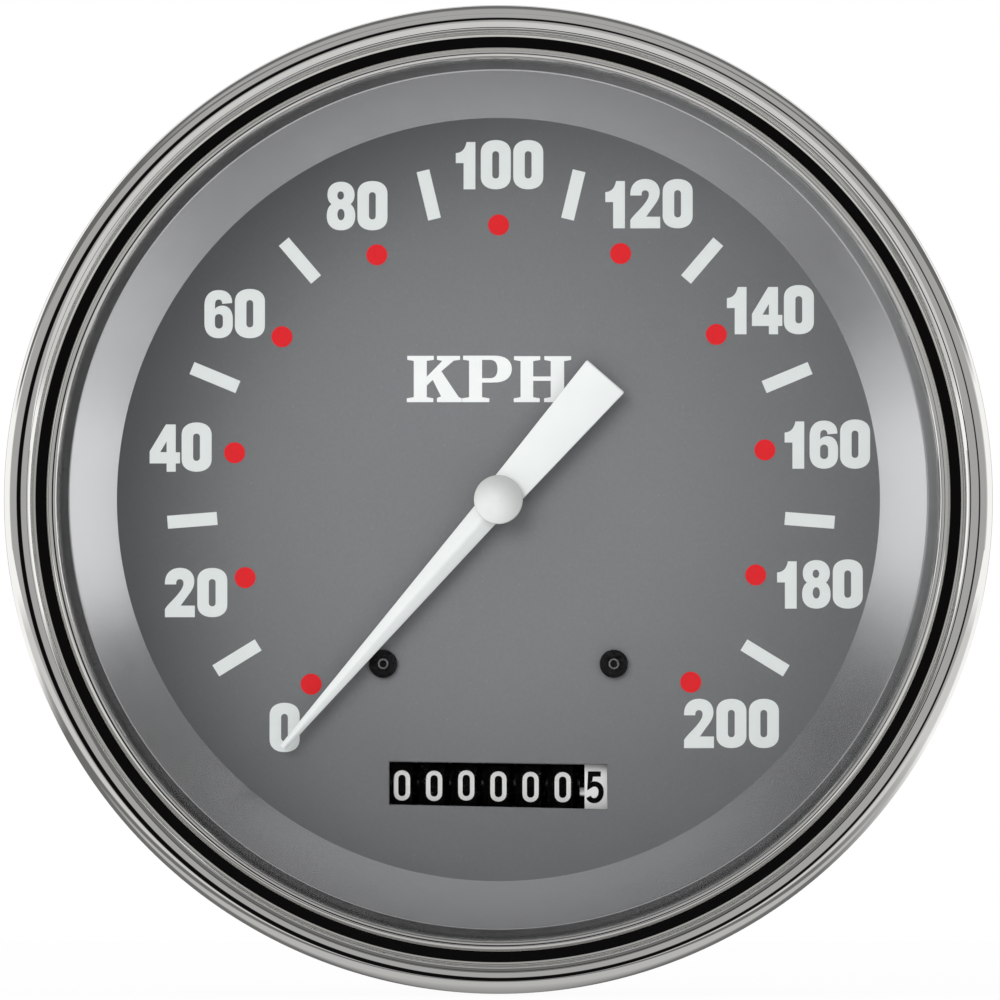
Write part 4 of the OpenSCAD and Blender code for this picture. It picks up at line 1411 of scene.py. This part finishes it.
    def build(self) -> None:
        """Loft the needle and tail, and turn the boss and the cap."""
        bm = bmesh.new()
        self.loft(bm, self.needle())
        self.loft(bm, self.tail())
        foot_f = self.under_f - self.boss_drop
        boss = [(0, foot_f), (self.boss_r, foot_f), (self.boss_r, self.cap_f), (0, self.cap_f)]
        lathe(bm, boss, segments=64)
        add_piece("pointer_blade", bm, NEEDLE_PAINT, "pointer", "pointer_needle", 24)
        bm = bmesh.new()
        lathe(bm, self.cap(), segments=128)
        add_piece("pointer_turned_cap", bm, CAP_SILVER, "pointer", "pointer_cap", 30)


FIGURES = {
    "0": "M-0.75,0.9 C-0.75,1.9 0.75,1.9 0.75,0.9 L0.75,-0.9 C0.75,-1.9 -0.75,-1.9 -0.75,-0.9 L-0.75,0.9",
    "1": "M-0.5,1.05 L0.15,1.7 0.15,-1.7",
    "2": "M-0.8,0.9 C-0.8,1.98 0.8,1.98 0.8,0.85 0.8,0.1 -0.7,-0.7 -0.8,-1.7 L0.85,-1.7",
    "3": "M-0.75,1.1 C-0.6,1.9 0.7,1.95 0.72,0.95 0.72,0.3 0.3,0.1 -0.25,0.1"
    " M-0.25,0.1 C0.5,0.1 0.8,-0.25 0.8,-0.8 0.8,-2 -0.75,-2 -0.8,-0.95",
    "4": "M0.4,-1.7 L0.4,1.7 -0.8,-0.75 0.9,-0.75",
    "5": "M0.75,1.7 L-0.55,1.7 -0.65,0.2 C-0.2,0.65 0.8,0.5 0.8,-0.55 0.8,-1.95 -0.6,-1.95 -0.8,-1.2",
    "6": "M0.6,1.6 C-0.3,1.6 -0.8,0.6 -0.8,-0.7 -0.8,-2.05 0.8,-2.05 0.8,-0.7 0.8,0.5 -0.6,0.5 -0.75,-0.5",
    "7": "M-0.8,1.7 L0.8,1.7 C0.2,0.6 -0.1,-0.4 -0.2,-1.7",
    "8": "M0,0.1 C0.95,0.1 0.95,1.7 0,1.7 -0.95,1.7 -0.95,0.1 0,0.1"
    " M0,0.1 C1.1,0.1 1.1,-1.7 0,-1.7 -1.1,-1.7 -1.1,0.1 0,0.1",
    "9": "M-0.6,-1.6 C0.3,-1.6 0.8,-0.6 0.8,0.7 0.8,2.05 -0.8,2.05 -0.8,0.7 -0.8,-0.5 0.6,-0.5 0.75,0.5",
}
PLACES = ("tenths", "units", "tens", "hundreds", "thousands", "ten_thousands", "hundred_thousands")


@dataclass
class Counter:
    """Seven number wheels behind the dial's window."""

    axis_y: float = 10
    axis_z: float = -36
    rim_r: float = 9.2
    pitch: float = 4.07
    stroke: float = 0.56
    tenths_bolder: float = 1.2
    raised: float = 0.02
    rings: int = 10
    figure_reach: float = 2.2
    rim_w: float = 2.6
    rim_slack: float = 0.01
    collar: Point = (0.34, 0.6)
    point_at: Point = (-14, -4)
    point_root_r: float = 6.5
    shown: dict[str, int] = field(default_factory=lambda: {"tenths": 5})
    lags: tuple[float, ...] = (2.8, 2.7, 2.5, 2.1, 1.3, 1.6, 1.3)

    def across(self, number: int) -> float:
        """Find the middle of a wheel across the counter, the tenths wheel at the right."""
        return (len(PLACES) // 2 - number) * self.pitch

    def wrap(self, bm: BMesh, middle: float, turn: float) -> None:
        """Bend a flat figure round its wheel.

        Args:
            bm: Mesh of the figure, centred on the origin.
            middle: The wheel's place across the counter.
            turn: Angle of the figure above the wheel's front, in radians.
        """
        for i in range(-self.rings, self.rings + 1):
            cut = place(0, i * self.figure_reach / self.rings, 0)
            geom = [*bm.verts, *bm.edges, *bm.faces]
            bmesh.ops.bisect_plane(bm, geom=geom, plane_co=cut, plane_no=(0, 0, 1))
        for vert in bm.verts:
            radius = self.rim_r * MM - vert.co.y
            angle = turn + vert.co.z / (self.rim_r * MM)
            vert.co.x += middle * MM
            vert.co.y = self.axis_y * MM - radius * math.cos(angle)
            vert.co.z = self.axis_z * MM + radius * math.sin(angle)

    def build(self) -> None:
        """Print the ten figures on each wheel, which lags a little as worn wheels do."""
        for number, (name, lag) in enumerate(zip(PLACES, self.lags)):
            tenths = name == PLACES[0]
            dress_node(f"number_wheel_{name}", WHITE_RESIN if tenths else BLACK_RESIN)
            stroke = self.stroke * self.tenths_bolder if tenths else self.stroke
            whole = bmesh.new()
            for digit, strokes in FIGURES.items():
                flat = bmesh.new()
                for line in trace(strokes):
                    prism(flat, [ribbon(line, stroke)], -self.raised, self.raised)
                steps = int(digit) - self.shown.get(name, 0)
                turn = math.radians(360 / len(FIGURES) * steps - lag)
                self.wrap(flat, self.across(number), turn)
                mesh = bpy.data.meshes.new("figure")
                flat.to_mesh(mesh)
                flat.free()
                whole.from_mesh(mesh)
                bpy.data.meshes.remove(mesh)
            add_piece(f"figures_{name}", whole, FIGURE_BLACK if tenths else FIGURE_WHITE, f"{name}_wheel")
        self.paint_disc()
        self.build_collar()

    def paint_disc(self) -> None:
        """Make the tenths wheel's locking disc black but for the decimal point on its tooth."""
        mesh = frame["nodes"]["number_wheel_tenths"].data
        mesh.materials.append(BLACK_RESIN.material())
        edge = self.across(0) - self.rim_w / 2 + self.rim_slack
        low, high = self.point_at
        for face in mesh.polygons:
            x, y, z = face.center / MM
            ahead, up = self.axis_y - y, z - self.axis_z
            turn = math.degrees(math.atan2(up, ahead))
            on_point = low < turn < high and math.hypot(up, ahead) > self.point_root_r
            face.material_index = int(x < edge and not on_point)

    def build_collar(self) -> None:
        """Widen the tenths wheel's rim up to the window's end."""
        width, depth = self.collar
        start = self.across(0) + self.rim_w / 2
        circles = [arc((0, 0), radius, 0, 360, 96) for radius in (self.rim_r, self.rim_r - depth)]
        bm = bmesh.new()
        prism(bm, circles, start, start + width)
        bmesh.ops.rotate(bm, verts=bm.verts, matrix=Matrix.Rotation(math.pi / 2, 3, "Z"))
        bmesh.ops.translate(bm, verts=bm.verts, vec=(0, self.axis_y * MM, self.axis_z * MM))
        add_piece("tenths_rim_collar", bm, WHITE_RESIN, "tenths_wheel")


@dataclass
class BackFittings:
    """What stands on the case's back: cable nipple, studs and slotted screws."""

    back_f: float
    case_sheet: float = 0.8
    nipple_r: float = 7.94
    nipple_f: tuple[float, float] = (-53, -65)
    nipple_pitch: float = 1.41
    housing_r: float = 9.2
    flange: Point = (12, 4)
    mouth_r: float = 5.0
    mouth_f: float = -57
    bore_r: float = 2.55
    stud_span: float = 76
    stud_r: float = 2.4
    stud_len: float = 25
    stud_pitch: float = 0.8
    stud_neck_r: float = 2.8
    stud_flange: Point = (4.6, 1.5)
    stud_tip: float = 0.6
    screw_at: tuple[Point, ...] = (*DIAL_SCREWS_AT, (-19, 20), (19, 20))
    screw_turns: tuple[float, ...] = (24, 71, 138, 103)
    head: Point = (3.2, 2)
    slot: Point = (0.9, 1.1)
    shank: Point = (1.5, 8)
    cheek_root: float = 0.05
    edge: float = 0.18
    sharp_turn: float = 0.9

    @property
    def floor_f(self) -> float:
        """Level of the case's inner floor."""
        return self.back_f + self.case_sheet

    def build(self) -> None:
        """Turn the housing and studs, wind their threads and cut the screws."""
        self.build_nipple()
        self.build_studs()
        self.build_screws()

    def build_nipple(self) -> None:
        """Turn the drive housing and wind the thread of its nipple."""
        front, back = self.nipple_f
        lead = self.nipple_pitch
        root_r = self.nipple_r - lead / 2
        bm = bmesh.new()
        lathe(
            bm,
            [
                (self.bore_r, self.floor_f + self.flange[1]),
                (self.flange[0], self.floor_f + self.flange[1]),
                (self.flange[0], self.floor_f),
                (self.housing_r, self.floor_f),
                (self.housing_r, front),
                (root_r, front),
                (root_r, back + self.edge),
                (root_r - self.edge, back),
                (self.mouth_r + self.edge, back),
                (self.mouth_r, back + self.edge),
                (self.mouth_r, self.mouth_f),
                (self.bore_r, self.mouth_f),
            ],
            segments=96,
        )
        finish = SLOT_FINISHES[slot_of("drive_housing")]
        add_piece("drive_housing_turned", bm, finish, node="drive_housing")
        thread = Thread(
            "nipple_thread",
            1,
            span=0,
            radius=self.nipple_r,
            pitch=lead,
            start_f=front - lead / 2,
            length=front - back - lead,
        )
        fit(thread.build(finish.material()))

    def build_studs(self) -> None:
        """Turn both mounting studs and wind their threads."""
        lead = self.stud_pitch
        root_r = self.stud_r - lead / 2
        tip_f = self.back_f - self.stud_len
        bm = bmesh.new()
        for side in (-1, 1):
            lathe(
                bm,
                [
                    (0, self.floor_f + self.stud_flange[1]),
                    (self.stud_flange[0], self.floor_f + self.stud_flange[1]),
                    (self.stud_flange[0], self.floor_f),
                    (self.stud_neck_r, self.floor_f),
                    (self.stud_neck_r, self.back_f),
                    (root_r, self.back_f),
                    (root_r, tip_f + self.stud_tip),
                    (root_r - self.stud_tip, tip_f),
                    (0, tip_f),
                ],
                (side * self.stud_span / 2, 0),
                48,
            )
        finish = SLOT_FINISHES[slot_of("mounting_studs")]
        add_piece("stud_cores", bm, finish, node="mounting_studs")
        thread = Thread(
            "stud_threads",
            2,
            span=self.stud_span,
            radius=self.stud_r,
            pitch=lead,
            start_f=self.back_f - lead / 2,
            length=self.stud_len - 2 * lead,
        )
        fit(thread.build(finish.material()))

    def build_screws(self) -> None:
        """Build the four slotted screws that hold the movement."""
        radius, height = self.head
        slot_w, slot_depth = self.slot
        shank_r, shank_len = self.shank
        top_f = self.back_f - height
        slot_f = top_f + slot_depth
        end_f = self.floor_f + shank_len
        reach = math.degrees(math.asin(slot_w / 2 / radius))
        profile = [
            (0, slot_f),
            (radius, slot_f),
            (radius, self.back_f),
            (shank_r, self.back_f),
            (shank_r, end_f),
            (0, end_f),
        ]
        bm = bmesh.new()
        for spot, turn in zip(self.screw_at, self.screw_turns):
            lathe(bm, profile, spot, 48)
            for side in (turn, turn + 180):
                cheek = arc(spot, radius, side + reach, side + 180 - reach, 24)
                prism(bm, [cheek], top_f, slot_f + self.cheek_root)
        sharp = [edge for edge in bm.edges if edge.is_manifold and edge.calc_face_angle() > self.sharp_turn]
        bmesh.ops.bevel(bm, geom=sharp, offset=self.edge * MM, segments=2, affect="EDGES", profile=0.5)
        finish = SLOT_FINISHES[slot_of("movement_screws")]
        add_piece("movement_slotted_screws", bm, finish, node="movement_screws")


@dataclass(frozen=True)
class PaleFloor(Finish):
    """A pale floor that runs out into the white background and keeps its shadow."""

    white_share: float = 0.96

    def surface(self, bench: NodeBench) -> NodeSocket:
        """Build the shader.

        Args:
            bench: Bench of the material's tree.

        Returns:
            The shader's socket.
        """
        share = bench.math("MULTIPLY", bench.any_ray(*SEEN_RAYS), self.white_share)
        glow = bench.add("ShaderNodeEmission", {"Color": (1, 1, 1, 1), "Strength": 1.0})
        paint = super().surface(bench)
        return bench.add("ShaderNodeMixShader", {0: share, 1: paint, 2: glow.outputs[0]}).outputs[0]


@dataclass(frozen=True)
class Card:
    """A card that only reflections see, fading out towards its edges."""

    name: str
    grey: float

    def rims(self) -> list[tuple[list[Vector], float]]:
        """Lay out the card's loops from the outside in, each with how much it covers."""
        raise NotImplementedError

    def mesh(self) -> BMesh:
        """Bridge the loops, with the cover kept on their points.

        Returns:
            The built mesh.
        """
        bm = bmesh.new()
        cover = bm.verts.layers.float.new("cover")
        rings = []
        for loop, share in self.rims():
            ring = [bm.verts.new(spot) for spot in loop]
            for vert in ring:
                vert[cover] = share
            rings.append(ring)
        for ring, other in zip(rings, rings[1:]):
            for i in range(len(ring)):
                bm.faces.new((ring[i - 1], ring[i], other[i], other[i - 1]))
        return bm

    def material(self) -> Material:
        """Build a plain glow that thins out with the cover.

        Returns:
            The material.
        """
        made = bpy.data.materials.new(self.name)
        made.use_nodes = True
        made.node_tree.nodes.clear()
        bench = NodeBench(made.node_tree)
        cover = bench.add("ShaderNodeAttribute", attribute_name="cover").outputs["Fac"]
        clear = bench.add("ShaderNodeBsdfTransparent").outputs[0]
        glow = bench.add("ShaderNodeEmission", {"Color": (self.grey,) * 3 + (1,)}).outputs[0]
        mixed = bench.add("ShaderNodeMixShader", {0: cover, 1: clear, 2: glow})
        bench.add("ShaderNodeOutputMaterial", {"Surface": mixed.outputs[0]})
        return made


@dataclass(frozen=True)
class LevelCard(Card):
    """A level card above or below the instrument."""

    x: Point
    f: Point
    z: float
    soft: Point = (0, 0)

    def rims(self) -> list[tuple[list[Vector], float]]:
        """Lay out the card's edge and its full part.

        Returns:
            Each loop with its cover.
        """
        loops = []
        for soft_x, soft_f, share in ((0, 0, 0.0), (*self.soft, 1.0)):
            x = (self.x[0] + soft_x, self.x[1] - soft_x)
            f = (self.f[0] + soft_f, self.f[1] - soft_f)
            corners = ((0, 0), (1, 0), (1, 1), (0, 1))
            loops.append(([place(x[i], self.z, f[j]) for i, j in corners], share))
        return loops

    def mesh(self) -> BMesh:
        """Bridge the loops and close the middle.

        Returns:
            The built mesh.
        """
        bm = super().mesh()
        bm.verts.ensure_lookup_table()
        bm.faces.new(bm.verts[-4:])
        return bm


@dataclass(frozen=True)
class RoundCard(Card):
    """A round card before or behind the instrument, with a hole."""

    ahead: float
    radius: float
    soft: Point = (0, 0)
    at: Point = (0, 0)
    hole_r: float = 0.0
    hole_shift: Point = (0, 0)

    def rims(self) -> list[tuple[list[Vector], float]]:
        """Lay out the outer edge and the hole's edge, each with its full part.

        Returns:
            Each loop with its cover.
        """
        soft_edge, soft_hole = self.soft
        hole_at = (self.at[0] + self.hole_shift[0], self.at[1] + self.hole_shift[1])
        circles = (
            (self.at, self.radius, 0.0 if soft_edge else 1.0),
            (self.at, self.radius - soft_edge, 1.0),
            (hole_at, self.hole_r + soft_hole, 1.0),
            (hole_at, self.hole_r, 0.0 if soft_hole else 1.0),
        )
        return [
            ([place(x, z, self.ahead) for x, z in arc(middle, radius, 0, 360, 96)[:-1]], share)
            for middle, radius, share in circles
        ]


@dataclass(frozen=True)
class Lamp:
    """A square soft lamp aimed at the instrument."""

    name: str
    at: tuple[float, float, float]
    size: float
    power: float


@dataclass
class Studio:
    """Pale floor, soft light and the camera that the photograph asks for."""

    picture_w: float = 126.54
    middle: Point = (0.2, -0.06)
    distance: float = 5000
    sensor: float = 36
    plane_f: float = 5
    sky: float = 0.68
    lamps: tuple[Lamp, ...] = (Lamp("key", at=(-520, 560, 1200), size=800, power=9.0),)
    floor: Finish = PaleFloor(
        "pale_floor", (0.93, 0.93, 0.93), 0.7, grain=60, tone=0.01, gloss=0.04, bump=0.01, specular=0.1
    )
    floor_w: float = 1200
    floor_drop: float = 0.3
    cards: tuple[Card, ...] = (
        RoundCard("rim_card", 0.004, ahead=72, radius=65.5, soft=(5, 4), hole_r=41, hole_shift=(10, 5)),
        RoundCard("left_card", 1.0, ahead=150, radius=420, soft=(150, 0), at=(-700, -110)),
        RoundCard("front_card", 0.40, ahead=300, radius=1350, soft=(600, 0), at=(-250, 0)),
        RoundCard("back_card", 0.38, ahead=-900, radius=550),
        LevelCard("top_card", 0.15, x=(-1700, 1250), f=(-300, 330), z=300, soft=(500, 40)),
        LevelCard("lintel_card", 0.40, x=(-80, 80), f=(8.5, 30), z=75, soft=(25, 4)),
        LevelCard("floor_card", 0.165, x=(-175, 112), f=(-130, 68), z=-62.7, soft=(60, 20)),
        LevelCard("sill_card", 0.50, x=(-90, 90), f=(8.5, 27), z=-62.65, soft=(25, 4)),
        LevelCard("front_floor_card", 0.64, x=(-320, 320), f=(-10, 600), z=-62.75, soft=(100, 25)),
    )

    def build(self) -> None:
        """Set up the world, floor, cards, lamps and camera."""
        bpy.context.scene.view_settings.view_transform = "Standard"
        self.build_world()
        self.build_floor()
        for card in self.cards:
            self.build_card(card)
        for lamp in self.lamps:
            self.build_lamp(lamp)
        self.build_camera()

    def build_world(self) -> None:
        """Make a world that shows white and lights softly."""
        world = bpy.data.worlds.new("studio")
        bpy.context.scene.world = world
        world.use_nodes = True
        world.node_tree.nodes.clear()
        bench = NodeBench(world.node_tree)
        seen = bench.any_ray(*SEEN_RAYS)
        soft = bench.add("ShaderNodeBackground", {"Color": (1, 1, 1, 1), "Strength": self.sky})
        white = bench.add("ShaderNodeBackground", {"Color": (1, 1, 1, 1), "Strength": 1.0})
        mixed = bench.add("ShaderNodeMixShader", {0: seen, 1: soft.outputs[0], 2: white.outputs[0]})
        bench.add("ShaderNodeOutputWorld", {"Surface": mixed.outputs[0]})

    def build_floor(self) -> None:
        """Lay a pale floor under the bezel."""
        bm = bmesh.new()
        bmesh.ops.create_grid(bm, x_segments=1, y_segments=1, size=self.floor_w * MM / 2)
        level = CAD_BOX[0].z - self.floor_drop * MM
        bmesh.ops.translate(bm, verts=bm.verts, vec=(0, 0, level))
        make_object("floor", bm, self.floor.material())

    def build_card(self, card: Card) -> None:
        """Put a card in its place, for reflections alone.

        Args:
            card: The card.
        """
        obj = make_object(card.name, card.mesh(), card.material())
        obj.visible_camera = obj.visible_diffuse = obj.visible_shadow = False

    def build_lamp(self, lamp: Lamp) -> None:
        """Hang a soft lamp.

        Args:
            lamp: The lamp.
        """
        light = bpy.data.lights.new(lamp.name, "AREA")
        light.size = lamp.size * MM
        light.energy = lamp.power
        obj = bpy.data.objects.new(lamp.name, light)
        obj.location = place(*lamp.at)
        obj.rotation_euler = (-obj.location).to_track_quat("-Z", "Y").to_euler()
        obj.visible_camera = obj.visible_glossy = False
        bpy.context.scene.collection.objects.link(obj)

    def build_camera(self) -> None:
        """Set the camera on the dial's axis, far off."""
        camera = bpy.data.cameras.new("camera")
        camera.sensor_width = self.sensor
        camera.lens = self.sensor * self.distance / self.picture_w
        camera.clip_end = 2 * self.distance * MM
        obj = bpy.data.objects.new("camera", camera)
        obj.location = place(*self.middle, self.distance + self.plane_f)
        obj.rotation_euler = (math.pi / 2, 0, 0)
        bpy.context.scene.collection.objects.link(obj)
        bpy.context.scene.camera = obj


def dress_rest() -> None:
    """Give every CAD node that still shows the finish of its slot."""
    for part in frame["record"]["subparts"]:
        obj = frame["nodes"][part["node"]]
        if not obj.hide_render and "weld" not in obj.modifiers:
            dress_node(part["node"], SLOT_FINISHES[part["material_slot"]])
            log.info("%s dressed as %s", part["node"], part["material_slot"])


def main() -> None:
    """Build every sub-assembly in order."""
    logging.basicConfig(level=logging.INFO, format="%(name)s: %(message)s")
    low, high = box_mm("bezel")
    Bezel(outer_r=high.x, crest_f=-low.y).build()
    face, back = box_mm("dial_plate")
    low, high = box_mm("trim_ring")
    TrimRing(outer_r=high.x, front_f=-low.y, foot_f=-face.y).build()
    Dial(plate_r=back.x, back_f=-back.y, face_f=-face.y).build()
    DialScrews(face_f=-face.y).build()
    Pointer().build()
    Counter().build()
    BackFittings(back_f=-box_mm("case_shell")[1].y).build()
    dress_rest()
    Studio().build()


if __name__ == "__main__":
    main()
